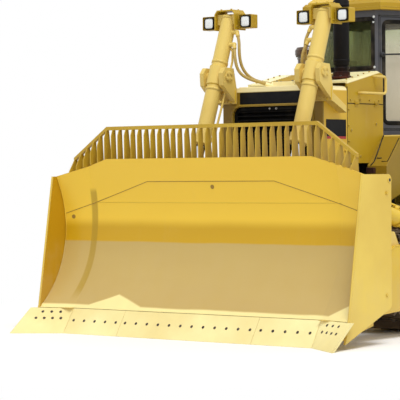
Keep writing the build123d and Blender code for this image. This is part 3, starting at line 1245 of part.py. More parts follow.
def tilt_barrel():
    """Tilt cylinder's barrel with its base eye on the arm."""
    u, reach = toward(TILT_BASE, TILT_EYE)
    y = ARM_Y
    end = 110 + TILT_BARREL_LENGTH
    shape = bar(along(TILT_BASE, u, 40, y), along(TILT_BASE, u, end, y), TILT_BARREL_RADIUS)
    shape += bar(along(TILT_BASE, u, end - 90, y), along(TILT_BASE, u, end, y), TILT_BARREL_RADIUS + 12)
    shape &= bar(along(TILT_BASE, u, 115, y), along(TILT_BASE, u, end + 1, y), TILT_BARREL_RADIUS + 20)
    neck = axle(TILT_BASE_X, TILT_BASE_Z, 80, y - EYE_HALF_WIDTH, y + EYE_HALF_WIDTH)
    neck += bar(along(TILT_BASE, u, 40, y), along(TILT_BASE, u, 120, y), EYE_HALF_WIDTH - 2)
    shape += neck
    shape -= axle(TILT_BASE_X, TILT_BASE_Z, TILT_PIN_RADIUS + GAP, y - EYE_HALF_WIDTH - 1,
                  y + EYE_HALF_WIDTH + 1)
    inner = reach - TILT_ROD_LENGTH
    return shape - bar(along(TILT_BASE, u, inner - 140, y), along(TILT_BASE, u, end + 1, y),
                       TILT_ROD_RADIUS + GAP)


# ---------------------------------------------------------------- hoses


def unit(direction):
    """The same direction with length 1."""
    length = sqrt(sum(c * c for c in direction))
    return tuple(c / length for c in direction)


def stepped(start, direction, distance):
    """Point at a distance from another one."""
    return tuple(s + c * distance for s, c in zip(start, unit(direction)))


def hose_elbow(name):
    """Corner of the left barrel's port fitting."""
    u, _ = toward(LIFT_TRUNNION, LIFT_EYE)
    return along(LIFT_TRUNNION, u, -HOSE_PORTS[name], LIFT_Y - LIFT_BARREL_RADIUS - PORT_REACH)


def hose(name):
    """Free hose of the left lift cylinder: straight runs joined by tangent arcs."""
    start = stepped(hose_elbow(name), HOSE_LEAVES[name], ELBOW_LEG)
    end = HOSE_ENDS[name]
    points = [start, stepped(start, HOSE_LEAVES[name], HOSE_LEAD)]
    points += HOSE_ROUTES[name]
    points += [stepped(end, HOSE_ARRIVES[name], -HOSE_LEAD), end]
    vectors = [Vector(*p) for p in points]
    radii = []
    for a, b, c in zip(vectors, vectors[1:], vectors[2:]):
        turn = radians((b - a).get_angle(c - b))
        radii.append(0.45 * min((b - a).length, (c - b).length) / tan(turn / 2))
    path = FilletPolyline(*points, radius=radii)
    return sweep(Plane(origin=path @ 0, z_dir=path % 0) * Circle(HOSE_RADIUS), path=path)


def build():
    """All nodes by name."""
    nodes = {}
    both_sides(nodes, "track", track())
    both_sides(nodes, "track_frame", track_frame())
    wheels = [idler(FRONT_IDLER_X), idler(REAR_IDLER_X)] + [roller(x) for x in roller_places()]
    both_sides(nodes, "idlers_and_rollers", wheels)
    both_sides(nodes, "sprocket", sprocket())
    both_sides(nodes, "final_drive", final_drive())
    nodes["main_frame"] = main_frame()
    nodes["equalizer_bar"] = equalizer_bar()
    nodes["drawbar"] = drawbar()
    nodes["fuel_tank"] = fuel_tank()
    nodes["hydraulic_tank"] = hydraulic_tank()
    both_sides(nodes, "fender", fender())
    nodes["engine_block"] = engine_block()
    nodes["radiator_core"] = radiator_core()
    nodes["radiator_guard"] = radiator_guard()
    nodes["radiator_grille"] = radiator_grille()
    yoke = lift_yoke()
    nodes["lift_yokes"] = [yoke] + mirrored(yoke)
    nodes["hood_top"] = hood_top()
    nodes["hood_sides"] = [hood_side()] + mirrored(hood_side())
    nodes["precleaner"] = precleaner()
    nodes["exhaust_stack"] = exhaust_stack()
    nodes["cab_floor"] = cab_floor()
    nodes["cab_shell"] = cab_shell()
    nodes["cab_glass"] = cab_glass()
    nodes["cab_roof"] = cab_roof()
    nodes["rollover_frame"] = rollover_frame()
    nodes["operator_chair"] = operator_chair()
    nodes["console"] = console()
    nodes["handrails"] = handrails()
    both_sides(nodes, "door", cab_door())
    both_sides(nodes, "door_glass", door_glass())
    both_sides(nodes, "push_arm", push_arm())
    both_sides(nodes, "lift_barrel", lift_barrel())
    both_sides(nodes, "lamps", lamps())
    both_sides(nodes, "lift_rod", cylinder_rod(LIFT_TRUNNION, LIFT_EYE, LIFT_ROD_LENGTH, LIFT_ROD_RADIUS, 100,
                                               LIFT_PIN_RADIUS, LIFT_Y))
    both_sides(nodes, "tilt_barrel", tilt_barrel())
    both_sides(nodes, "tilt_rod", cylinder_rod(TILT_BASE, TILT_EYE, TILT_ROD_LENGTH, TILT_ROD_RADIUS, 80,
                                               TILT_PIN_RADIUS, ARM_Y))
    for name in HOSE_PORTS:
        both_sides(nodes, "hose_" + name, hose(name))
    nodes["moldboard"] = moldboard()
    back = blade_back()
    nodes["blade_back"] = back
    nodes["blade_lugs"] = blade_lugs(back)
    nodes["side_plates"] = side_plates()
    nodes["cutting_edges"] = cutting_edges()
    nodes["spill_guard"] = spill_guard()
    return nodes


if __name__ == "__main__":
    for name, shape in build().items():
        pieces = solids_of(shape)
        export_step(Compound(children=pieces) if len(pieces) > 1 else pieces[0], f"parts/{name}.step")
        print(name, len(pieces))
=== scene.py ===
"""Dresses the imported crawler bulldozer: finishes, fittings, soft goods, studio stage and camera."""

import logging
import math
from contextlib import contextmanager
from dataclasses import dataclass, field
from enum import Enum
from functools import cache
from typing import Callable, Iterable, Iterator, Sequence

import bmesh
import bpy
from mathutils import Matrix, Vector
from mathutils.bvhtree import BVHTree


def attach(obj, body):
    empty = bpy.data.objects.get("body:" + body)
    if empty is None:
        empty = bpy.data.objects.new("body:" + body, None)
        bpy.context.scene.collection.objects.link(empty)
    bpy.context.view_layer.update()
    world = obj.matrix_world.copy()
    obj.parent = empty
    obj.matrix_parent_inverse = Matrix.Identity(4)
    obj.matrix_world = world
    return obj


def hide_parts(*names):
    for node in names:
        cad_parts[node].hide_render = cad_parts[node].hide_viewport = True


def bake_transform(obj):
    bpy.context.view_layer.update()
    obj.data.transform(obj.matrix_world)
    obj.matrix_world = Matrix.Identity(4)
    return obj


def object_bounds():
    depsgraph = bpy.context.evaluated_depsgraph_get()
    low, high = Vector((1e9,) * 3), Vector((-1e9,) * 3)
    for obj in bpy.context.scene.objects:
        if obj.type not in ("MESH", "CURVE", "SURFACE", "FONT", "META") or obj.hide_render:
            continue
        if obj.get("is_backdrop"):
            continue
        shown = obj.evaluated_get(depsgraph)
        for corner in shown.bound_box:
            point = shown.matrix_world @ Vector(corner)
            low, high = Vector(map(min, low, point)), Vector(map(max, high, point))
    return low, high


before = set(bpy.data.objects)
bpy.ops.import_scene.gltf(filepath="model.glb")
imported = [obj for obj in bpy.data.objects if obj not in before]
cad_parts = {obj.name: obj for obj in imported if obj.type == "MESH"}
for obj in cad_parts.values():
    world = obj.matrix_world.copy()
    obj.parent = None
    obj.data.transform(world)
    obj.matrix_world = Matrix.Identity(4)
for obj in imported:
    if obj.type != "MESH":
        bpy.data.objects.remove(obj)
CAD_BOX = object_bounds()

LOG = logging.getLogger("bulldozer")
HULL, BLADE, ARMS = "hull", "blade", "push_arms"
SIDES = (("left", 1), ("right", -1))
ONE, BOTH = (1,), (1, -1)
FRONT, LEFT, UP = Vector((1, 0, 0)), Vector((0, 1, 0)), Vector((0, 0, 1))
YELLOW_SLOT, CAB_SLOT = "machine_yellow", "cab_charcoal"
Pair = tuple[float, float]
Triple = tuple[float, float, float]
Point = Sequence[float]
Line = Sequence[Point]
Seed = tuple[Point, Point, Point]


# ---------------------------------------------------------------- node trees
class Term:
    """A node's output that takes part in ordinary sums."""

    def __init__(self, graph: "Graph", node: bpy.types.Node, socket: bpy.types.NodeSocket | None) -> None:
        """Keep the output and where it comes from."""
        self.graph, self.node, self.socket = graph, node, socket

    def out(self, name: str) -> "Term":
        """Another output of the same node."""
        return Term(self.graph, self.node, self.graph.pick(self.node.outputs, name))

    def math(self, operation: str, *values: object) -> "Term":
        """A Math node on this value and others."""
        operands = dict(enumerate((self, *values)))
        return self.graph.add("ShaderNodeMath", {"operation": operation}, operands)

    def __add__(self, other: object) -> "Term":
        """Sum."""
        return self.math("ADD", other)

    __radd__ = __add__

    def __sub__(self, other: object) -> "Term":
        """Difference."""
        return self.math("SUBTRACT", other)

    def __rsub__(self, other: object) -> "Term":
        """Difference from a number."""
        return self.math("MULTIPLY_ADD", -1.0, other)

    def __mul__(self, other: object) -> "Term":
        """Product."""
        return self.math("MULTIPLY", other)

    __rmul__ = __mul__

    def __truediv__(self, other: object) -> "Term":
        """Quotient."""
        return self.math("DIVIDE", other)

    def step(self, low: float, high: float) -> "Term":
        """Smooth rise from 0 at low to 1 at high.

        Args:
            low: Value at which the result is 0.
            high: Value at which the result is 1; it may lie below low.

        Returns:
            The risen value, between 0 and 1.
        """
        if low > high:
            return 1 - self.step(high, low)
        sockets = {"Value": self, "From Min": low, "From Max": high}
        return self.graph.add("ShaderNodeMapRange", {"interpolation_type": "SMOOTHSTEP"}, sockets)


class Graph:
    """A node tree to which every node is added in the same way."""

    def __init__(self, tree: bpy.types.NodeTree) -> None:
        """Work on a node tree."""
        self.tree = tree

    @staticmethod
    def pick(sockets: bpy.types.NodeInputs, name: str | int) -> bpy.types.NodeSocket:
        """The socket with an identifier, a name or a number.

        Args:
            sockets: A node's inputs or outputs.
            name: Identifier, name or index.

        Returns:
            The first socket that answers to the name.
        """
        if isinstance(name, int):
            return sockets[name]
        by_id = [s for s in sockets if s.identifier == name]
        return by_id[0] if by_id else next(s for s in sockets if s.name == name)

    def add(
        self,
        kind: str,
        settings: dict[str, object] | None = None,
        sockets: dict[str | int, object] | None = None,
        output: str | int = 0,
    ) -> Term:
        """Add a node.

        Args:
            kind: The node's type.
            settings: Its own settings, set first; "stops" fills a colour ramp.
            sockets: Values or links of its inputs, by name, identifier or number.
            output: Which output to return.

        Returns:
            The chosen output.
        """
        node = self.tree.nodes.new(kind)
        for name, value in (settings or {}).items():
            if name == "stops":
                ramp = node.color_ramp.elements
                while len(ramp) < len(value):
                    ramp.new(1.0)
                for stop, (place, colour) in zip(ramp, value):
                    stop.position, stop.color = place, (*colour, 1)
            else:
                setattr(node, name, value)
        for name, value in (sockets or {}).items():
            socket = self.pick(node.inputs, name)
            if isinstance(value, Term):
                self.tree.links.new(value.socket, socket)
            else:
                socket.default_value = value
        return Term(self, node, self.pick(node.outputs, output) if len(node.outputs) else None)


class Shades(Graph):
    """A material's tree with the patterns that its finishes share."""

    def place(self) -> Term:
        """Object coordinates."""
        return self.add("ShaderNodeTexCoord", output="Object")

    def axis(self, place: Term, letter: str) -> Term:
        """One coordinate of a place."""
        return self.add("ShaderNodeSeparateXYZ", sockets={0: place}, output=letter)

    def scaled(self, place: Term, factors: Sequence[float]) -> Term:
        """A place stretched along the axes."""
        return self.add("ShaderNodeVectorMath", {"operation": "MULTIPLY"}, {0: place, 1: tuple(factors)})

    def noise(self, place: Term, scale: float, detail: float = 3.0, roughness: float = 0.5) -> Term:
        """Cloudy noise between 0 and 1.

        Args:
            place: Coordinates.
            scale: Blots per metre.
            detail: Octaves.
            roughness: Share of the finer octaves.

        Returns:
            The noise.
        """
        sockets = {"Vector": place, "Scale": scale, "Detail": detail, "Roughness": roughness}
        return self.add("ShaderNodeTexNoise", sockets=sockets)

    def mix(self, share: object, first: object, second: object) -> Term:
        """Colour between two colours.

        Args:
            share: 0 for the first colour, 1 for the second.
            first: A colour or a link.
            second: A colour or a link.

        Returns:
            The mixed colour.
        """
        full = [c if isinstance(c, Term) else (*c, 1) for c in (first, second)]
        sockets = {"Factor_Float": share, "A_Color": full[0], "B_Color": full[1]}
        return self.add("ShaderNodeMix", {"data_type": "RGBA"}, sockets, "Result_Color")

    def rounding(self, radius: float) -> Term:
        """Normals of a surface whose edges are rounded."""
        return self.add("ShaderNodeBevel", {"samples": 4}, {"Radius": radius})

    def edges(self, rounded: Term) -> Term:
        """How near the surface is to a sharp edge, from 0 on a flat to 1.

        Args:
            rounded: Normals from rounding().

        Returns:
            The nearness.
        """
        true = self.add("ShaderNodeNewGeometry", output="Normal")
        dot = self.add("ShaderNodeVectorMath", {"operation": "DOT_PRODUCT"}, {0: rounded, 1: true}, "Value")
        return dot.step(0.995, 0.86)

    def bump(self, height: Term, depth: float, normal: Term | None = None) -> Term:
        """Normals of a surface with relief.

        Args:
            height: Relief between 0 and 1.
            depth: Its depth in metres.
            normal: Normals to start from.

        Returns:
            The bumped normals.
        """
        sockets = {"Height": height, "Distance": depth, "Strength": 1.0}
        if normal is not None:
            sockets["Normal"] = normal
        return self.add("ShaderNodeBump", sockets=sockets)

    def shader(self, **sockets: object) -> Term:
        """The Principled shader with its sockets given by name, with _ for a space."""
        named = {k.replace("_", " "): v for k, v in sockets.items()}
        full = {k: (*v, 1) if isinstance(v, tuple) and len(v) == 3 else v for k, v in named.items()}
        return self.add("ShaderNodeBsdfPrincipled", sockets=full)


def srgb(red: int, green: int, blue: int) -> Triple:
    """A screen colour as shader numbers.

    Args:
        red: From 0 to 255.
        green: From 0 to 255.
        blue: From 0 to 255.

    Returns:
        The linear colour.
    """
    parts = (c / 255 for c in (red, green, blue))
    return tuple(c / 12.92 if c <= 0.04045 else ((c + 0.055) / 1.055) ** 2.4 for c in parts)


# ---------------------------------------------------------------- finishes
@dataclass(frozen=True)
class Finish:
    """A surface finish that makes its own material once."""

    name: str

    @cache
    def material(self) -> bpy.types.Material:
        """The finish's material, made on first use."""
        made = bpy.data.materials.new(self.name + "_finish")
        made.use_nodes = True
        made.node_tree.nodes.clear()
        graph = Shades(made.node_tree)
        graph.add("ShaderNodeOutputMaterial", sockets={"Surface": self.surface(graph)})
        return made

    def surface(self, g: Shades) -> Term:
        """The shader at the end of the tree."""
        raise NotImplementedError


@dataclass(frozen=True)
class Enamel(Finish):
    """Sprayed machine enamel with dust low down, faint streaks, chipped edges and a painted highlight along
    its edges.
    """

    colour: Triple = srgb(228, 186, 52)
    gloss: float = 0.38
    dust: float = 0.5
    chips: float = 0.5
    coat: float = 0.25

    def base(self, g: Shades, place: Term) -> Term:
        """Paint colour before dust and chips."""
        deep = tuple(c * f for c, f in zip(self.colour, (0.86, 0.8, 0.68)))
        return g.mix(g.noise(place, 0.9, 4).step(0.32, 0.7), self.colour, deep)

    def surface(self, g: Shades) -> Term:
        """Paint under dust, with bare steel where it is chipped."""
        place = g.place()
        streaks = g.noise(g.scaled(place, (6, 6, 0.6)), 1.0, 5)
        blots = g.noise(place, 5.0, 5, 0.6)
        grain = g.noise(place, 70, 3, 0.7)
        low = g.axis(place, "Z").step(1.5, 0.1)
        rounded = g.rounding(0.008)
        edge = g.edges(rounded)
        dusty = (streaks * 0.6 + blots * 0.55 + low * 0.35).step(0.62, 0.98) * self.dust
        chipped = (edge * 0.5 + blots * 0.35 + grain * 0.3).step(0.84, 0.9) * self.chips
        tone = g.mix(dusty, self.base(g, place), srgb(196, 176, 138))
        # Painted highlight: edges are mixed a quarter of the way towards a paler yellow.
        tone = g.mix(edge * 0.25, tone, srgb(240, 214, 120))
        tone = g.mix(chipped, tone, srgb(92, 78, 66))
        shine = self.gloss + streaks * 0.14 + dusty * 0.3 + chipped * 0.15
        return g.shader(
            Base_Color=tone,
            Roughness=shine,
            Metallic=chipped * 0.6,
            Specular_IOR_Level=0.3,
            Coat_Weight=(1 - dusty) * self.coat,
            Coat_Roughness=0.18,
            Normal=g.bump(grain + streaks * 2, 0.0006, rounded),
        )


@dataclass(frozen=True)
class Zone:
    """A second colour past a plane across one axis, sloped along X where wanted."""

    axis: str
    start: float
    end: float
    colour: Triple
    slope: float = 0.0


@dataclass(frozen=True)
class ZonedEnamel(Enamel):
    """Enamel with other colours in some zones, the same to the left and to the right."""

    zones: tuple[Zone, ...] = ()

    def base(self, g: Shades, place: Term) -> Term:
        """Paint colour, changed in each zone."""
        tone = super().base(g, place)
        for zone in self.zones:
            height = g.axis(place, zone.axis).math("ABSOLUTE") + g.axis(place, "X") * zone.slope
            tone = g.mix(height.step(zone.start, zone.end), tone, zone.colour)
        return tone


@dataclass(frozen=True)
class BladeEnamel(Enamel):
    """Enamel of the blade's face, with painted reflection bands, a painted shade stripe on a fold and a
    painted highlight at its foot.
    """

    # Heights of the borders between the painted reflection bands, and of the painted highlight strip at the
    # foot.
    bands: Triple = (1.36, 1.11, 0.345)
    # Place, half width and bow of the painted shade stripe along the fold.
    fold_shade: Triple = (1.87, 0.06, 0.22)
    # Middle, half width and height of each painted highlight peak at the foot.
    lit_peaks: tuple[Triple, ...] = ((-1.24, 0.42, 0.13), (2.33, 0.36, 0.17))

    def base(self, g: Shades, place: Term) -> Term:
        """Painted reflection bands by height with slightly uneven borders, a painted shade stripe and painted
        highlight peaks.
        """
        top, middle, low = self.bands
        wave = (g.noise(g.scaled(place, (0, 1.2, 0)), 1.0, 2) - 0.5) * 0.03
        height = g.axis(place, "Z") + wave
        across = g.noise(g.scaled(place, (0.5, 0.35, 1.6)), 1.0, 3)
        # Painted reflections: a bright upper band, a darker middle band and a pale lower band.
        upper = g.mix(across, srgb(238, 200, 62), srgb(232, 188, 50))
        band = g.mix(across, srgb(202, 160, 20), srgb(196, 152, 18))
        lower_reflection = g.mix(across, srgb(196, 170, 100), srgb(184, 154, 88))
        tone = g.mix(height.step(top - 0.09, top + 0.05), band, upper)
        tone = g.mix(height.step(middle + 0.012, middle - 0.012), tone, lower_reflection)
        # Painted shade: a darker stripe down the fold, bending near the bottom.
        across = g.axis(place, "Y")
        where, half, bow = self.fold_shade
        below = (1.0 - height).math("MAXIMUM", 0.0)
        stripe = (across + where + below * below * bow).math("ABSOLUTE")
        tall = height.step(0.36, 0.55) * height.step(1.78, 1.7)
        tone = g.mix(stripe.step(half, half * 0.6) * tall * 0.7, tone, srgb(166, 134, 26))
        # Painted highlight: a pale strip along the foot that rises to peaks.
        rise = height.step(9.0, 10.0)
        for middle, half, tall in self.lit_peaks:
            slope = (across - middle).math("ABSOLUTE") * (-tall / half) + tall
            rise = rise.math("MAXIMUM", slope)
        edge = rise + low
        return g.mix((height - edge).step(0.012, -0.012), tone, srgb(244, 228, 156))


@dataclass(frozen=True)
class WornSteel(Finish):
    """Forged steel, rubbed bright on its edges and brown with dust elsewhere."""

    colour: Triple = srgb(96, 84, 72)
    bright: Triple = srgb(168, 160, 150)
    soil: Triple = srgb(150, 124, 88)
    soiled: float = 0.6
    rough: float = 0.5

    def surface(self, g: Shades) -> Term:
        """Steel under dry soil."""
        place = g.place()
        blots = g.noise(place, 7, 5, 0.65)
        grain = g.noise(place, 90, 3, 0.7)
        rounded = g.rounding(0.006)
        edge = g.edges(rounded)
        soil = (blots * 0.8 + grain * 0.3).step(0.48, 0.78) * self.soiled
        rubbed = (edge + blots * 0.3).step(0.5, 1.1)
        tone = g.mix(soil, g.mix(rubbed, self.colour, self.bright), self.soil)
        return g.shader(
            Base_Color=tone,
            Metallic=(1 - soil) * 0.75,
            Roughness=self.rough + soil * 0.35 - rubbed * 0.15,
            Normal=g.bump(grain + blots, 0.0012, rounded),
        )


@dataclass(frozen=True)
class Coat(Finish):
    """Plain painted, plated or moulded surface with a fine grain, dust and a painted highlight on its edges.
    """

    colour: Triple = srgb(40, 41, 44)
    rough: float = 0.45
    metal: float = 0.0
    dust: float = 0.2
    grain: float = 120.0
    relief: float = 0.0003
    shine: float = 0.5

    def surface(self, g: Shades) -> Term:
        """Grained surface under a little dust."""
        place = g.place()
        fine = g.noise(place, self.grain, 3, 0.6)
        blots = g.noise(place, 6, 4, 0.6)
        rounded = g.rounding(0.004)
        edge = g.edges(rounded)
        dusty = (blots + fine * 0.2).step(0.5, 0.85) * self.dust
        # Painted highlight: a lighter copy of the colour is mixed in along the edges.
        light = tuple(min(1.0, c * 1.6 + 0.03) for c in self.colour)
        tone = g.mix(edge * 0.35, g.mix(dusty, self.colour, srgb(150, 138, 116)), light)
        return g.shader(
            Base_Color=tone,
            Metallic=self.metal,
            Roughness=self.rough + dusty * 0.4 + fine * 0.08,
            Specular_IOR_Level=self.shine,
            Normal=g.bump(fine, self.relief, rounded),
        )


@dataclass(frozen=True)
class HeatedSteel(Finish):
    """Exhaust steel, browned by heat from its foot upwards."""

    foot: float = 3.05
    reach: float = 0.3

    def surface(self, g: Shades) -> Term:
        """Rust brown low down, sooty dark above."""
        place = g.place()
        blots = g.noise(g.scaled(place, (1, 1, 0.5)), 9, 5, 0.65)
        heat = (g.axis(place, "Z") + blots * 0.2).step(self.foot + self.reach, self.foot)
        tone = g.mix(heat, srgb(20, 18, 18), srgb(104, 50, 34))
        tone = g.mix(blots.step(0.5, 0.8) * 0.3, tone, srgb(48, 40, 36))
        return g.shader(
            Base_Color=tone,
            Roughness=0.5 + blots * 0.25,
            Specular_IOR_Level=0.12,
            Normal=g.bump(blots, 0.0012),
        )


@dataclass(frozen=True)
class Glass(Finish):
    """Tinted sheet glass with dust towards its lower edge."""

    tint: Triple = srgb(176, 190, 160)
    body: float = 0.55
    film: float = 0.16
    dust: Triple = srgb(190, 184, 160)
    low: float = 3.2
    high: float = 3.8

    def surface(self, g: Shades) -> Term:
        """Clear glass and a film of dust."""
        place = g.place()
        smears = g.noise(g.scaled(place, (3, 3, 1)), 2.5, 4, 0.6)
        film = (g.axis(place, "Z").step(self.high, self.low) * 0.5 + smears * 0.2 + 0.3).step(0.2, 1.0)
        clear = {"Transmission_Weight": 1.0, "IOR": 1.1, "Alpha": self.body}
        pane = g.shader(Base_Color=self.tint, Roughness=0.03 + smears * 0.05, **clear)
        dust = g.shader(Base_Color=self.dust, Roughness=0.8)
        return g.add("ShaderNodeMixShader", sockets={0: film * self.film, 1: pane, 2: dust})


@dataclass(frozen=True)
class Lens(Finish):
    """Ribbed white lamp lens with a faint painted glow."""

    # Painted glow: the lens, and everything else in this finish, gives off a little light of its own.
    painted_glow: float = 0.12

    def surface(self, g: Shades) -> Term:
        """White prisms behind clear plastic."""
        place = g.place()
        ribs = (g.axis(place, "Y") * 420.0).math("SINE") * 0.5 + 0.5
        tone = g.mix(ribs, srgb(236, 238, 236), srgb(206, 212, 212))
        return g.shader(
            Base_Color=tone,
            Roughness=0.12 + ribs * 0.05,
            Coat_Weight=0.8,
            Emission_Color=tone,
            Emission_Strength=self.painted_glow,
            Normal=g.bump(ribs, 0.0008),
        )


@dataclass(frozen=True)
class Cloth(Finish):
    """Woven chair fabric."""

    colour: Triple = srgb(62, 64, 70)
    pitch: float = 900.0

    def surface(self, g: Shades) -> Term:
        """Crossed threads with worn, paler patches."""
        place = g.place()
        threads = [(g.axis(place, a) * self.pitch).math("SINE") for a in "XYZ"]
        weave = (threads[0] * threads[1] + threads[1] * threads[2] + threads[2] * threads[0]) / 6 + 0.5
        worn = g.noise(place, 5, 4, 0.6)
        pale = tuple(c * 1.9 + 0.01 for c in self.colour)
        tone = g.mix(worn.step(0.45, 0.8) * 0.5, self.colour, pale)
        tone = g.mix(weave * 0.4, tone, tuple(c * 0.45 for c in self.colour))
        return g.shader(
            Base_Color=tone,
            Roughness=0.85 + worn * 0.1,
            Sheen_Weight=0.35,
            Sheen_Roughness=0.4,
            Normal=g.bump(weave, 0.0012),
        )


class Look(Enum):
    """Every finish on the machine."""

    YELLOW = Enamel("machine_yellow", colour=srgb(222, 187, 54), dust=0.3, coat=0.12)
    # Painted shade: a darker copy of the machine yellow for shaded hull panels and their fittings.
    SHADED_YELLOW = Enamel("hood_gold", colour=srgb(186, 152, 26), dust=0.18, coat=0.1)
    # Painted shade on the hood top, with a cream painted highlight on its upper faces.
    HOOD = ZonedEnamel("hood_top_gold", colour=srgb(186, 152, 26), dust=0.18, coat=0.1,
                       zones=(Zone("Z", 3.265, 3.28, srgb(252, 242, 186), 0.219),))
    # Painted shade on the fenders, with a paler painted highlight on the deck tops.
    FENDER = ZonedEnamel("fender_gold", colour=srgb(158, 130, 34), dust=0.25, coat=0.1,
                         zones=(Zone("Z", 2.37, 2.385, srgb(214, 188, 98)),))
    # Painted shade on the guard's front face and a cream painted highlight on its top lip.
    GUARD = ZonedEnamel("guard_yellow", colour=srgb(216, 176, 52), dust=0.25, coat=0.12,
                        zones=(Zone("X", 1.64, 1.66, srgb(140, 112, 26)),
                               Zone("Z", 2.925, 2.94, srgb(250, 236, 180))))
    # A paler, lit copy of the machine yellow on the side plates, with painted shade on their inner faces.
    SIDE = ZonedEnamel("side_plate_yellow", colour=srgb(226, 196, 86), dust=0.15, coat=0.15,
                       zones=(Zone("Y", 2.338, 2.332, srgb(184, 140, 16)),))
    # Painted shade: a darker copy of the machine yellow on the spill guard's bars.
    SPILL = Enamel("spill_guard_gold", colour=srgb(188, 154, 44), dust=0.1, coat=0.08, chips=0.3)
    # Painted light: a paler copy of the machine yellow on the cylinders, yokes and rails.
    PALE = Enamel("cylinder_yellow", colour=srgb(222, 194, 104), dust=0.2, chips=0.3, coat=0.12)
    # Painted reflection bands, fold shade and foot highlight, from BladeEnamel.
    BLADE = BladeEnamel("blade_yellow", gloss=0.32, dust=0.08, chips=0.12, coat=0.14)
    # Painted highlight: a near-white copy of the yellow on the cutting edges and end bits.
    EDGE = Enamel("edge_yellow", colour=srgb(250, 238, 172), gloss=0.42, dust=0.12, chips=0.6)
    CHARCOAL = Coat("cab_charcoal", colour=srgb(72, 73, 79), rough=0.42, dust=0.1)
    LABEL = Coat("label_black", colour=srgb(8, 9, 14), rough=0.34, dust=0.02, shine=0.12)
    RED = Coat("stripe_red", colour=srgb(168, 34, 30), rough=0.35, dust=0.1)
    GRILLE = Coat("grille_black", colour=srgb(6, 7, 9), rough=0.6, dust=0.05, shine=0.1)
    TRACK = WornSteel("track_steel")
    DARK = WornSteel("dark_steel", colour=srgb(58, 52, 48), bright=srgb(120, 112, 104), soiled=0.35)
    BRIGHT = WornSteel("bright_steel", colour=srgb(150, 148, 144), bright=srgb(205, 203, 198),
                       soiled=0.12, rough=0.32)
    CHROME = Coat("rod_chrome", colour=srgb(206, 208, 212), rough=0.12, metal=1.0, dust=0.12)
    EXHAUST = HeatedSteel("exhaust_dark")
    RUBBER = Coat("hose_rubber", colour=srgb(22, 20, 18), rough=0.62, dust=0.2, grain=220, shine=0.15)
    GLASS = Glass("clear_glass", tint=srgb(236, 232, 222), body=0.45, film=0.6, dust=srgb(226, 218, 196))
    TINTED = Glass("tinted_glass", tint=srgb(150, 162, 112), body=0.7, film=0.35, dust=srgb(150, 156, 104))
    LENS = Lens("lamp_lens")
    FABRIC = Cloth("chair_fabric")
    PLASTIC = Coat("moulded_black", colour=srgb(34, 35, 38), rough=0.55, grain=320, relief=0.0005)
    CAP_GREY = Coat("cap_grey", colour=srgb(124, 124, 124), rough=0.5, dust=0.2)
    BOWL = Coat("bowl_brown", colour=srgb(74, 52, 34), rough=0.2, dust=0.15)
    SEAM = Coat("seam_ochre", colour=srgb(150, 116, 34), rough=0.5, dust=0.1)
    RUST = WornSteel("rusty_brown", colour=srgb(104, 60, 34), bright=srgb(140, 96, 60), soiled=0.3, rough=0.7)
    PIN = WornSteel("pin_brown", colour=srgb(78, 50, 48), bright=srgb(120, 96, 90), soiled=0.2)
    SCREEN = Coat("screen_black", colour=srgb(12, 14, 18), rough=0.12, dust=0.05)
    GLASS_TUBE = Coat("sight_glass", colour=srgb(168, 120, 48), rough=0.12, dust=0.1)
    HOSE = Coat("hose_ochre", colour=srgb(180, 152, 76), rough=0.55, dust=0.2, grain=220)

    def material(self) -> bpy.types.Material:
        """The finish's material."""
        return self.value.material()


# ---------------------------------------------------------------- mesh work
def flipped(point: Point, sign: int) -> Vector:
    """A place or a direction, or its mirror image to the right for the sign -1."""
    return Vector((point[0], sign * point[1], point[2]))


@contextmanager
def mirrored(*groups: "Form | Bolts | Welds") -> Iterator[None]:
    """While it is open, whatever the groups get appears on both sides of the machine."""
    for group in groups:
        group.signs = BOTH
    yield
    for group in groups:
        group.signs = ONE


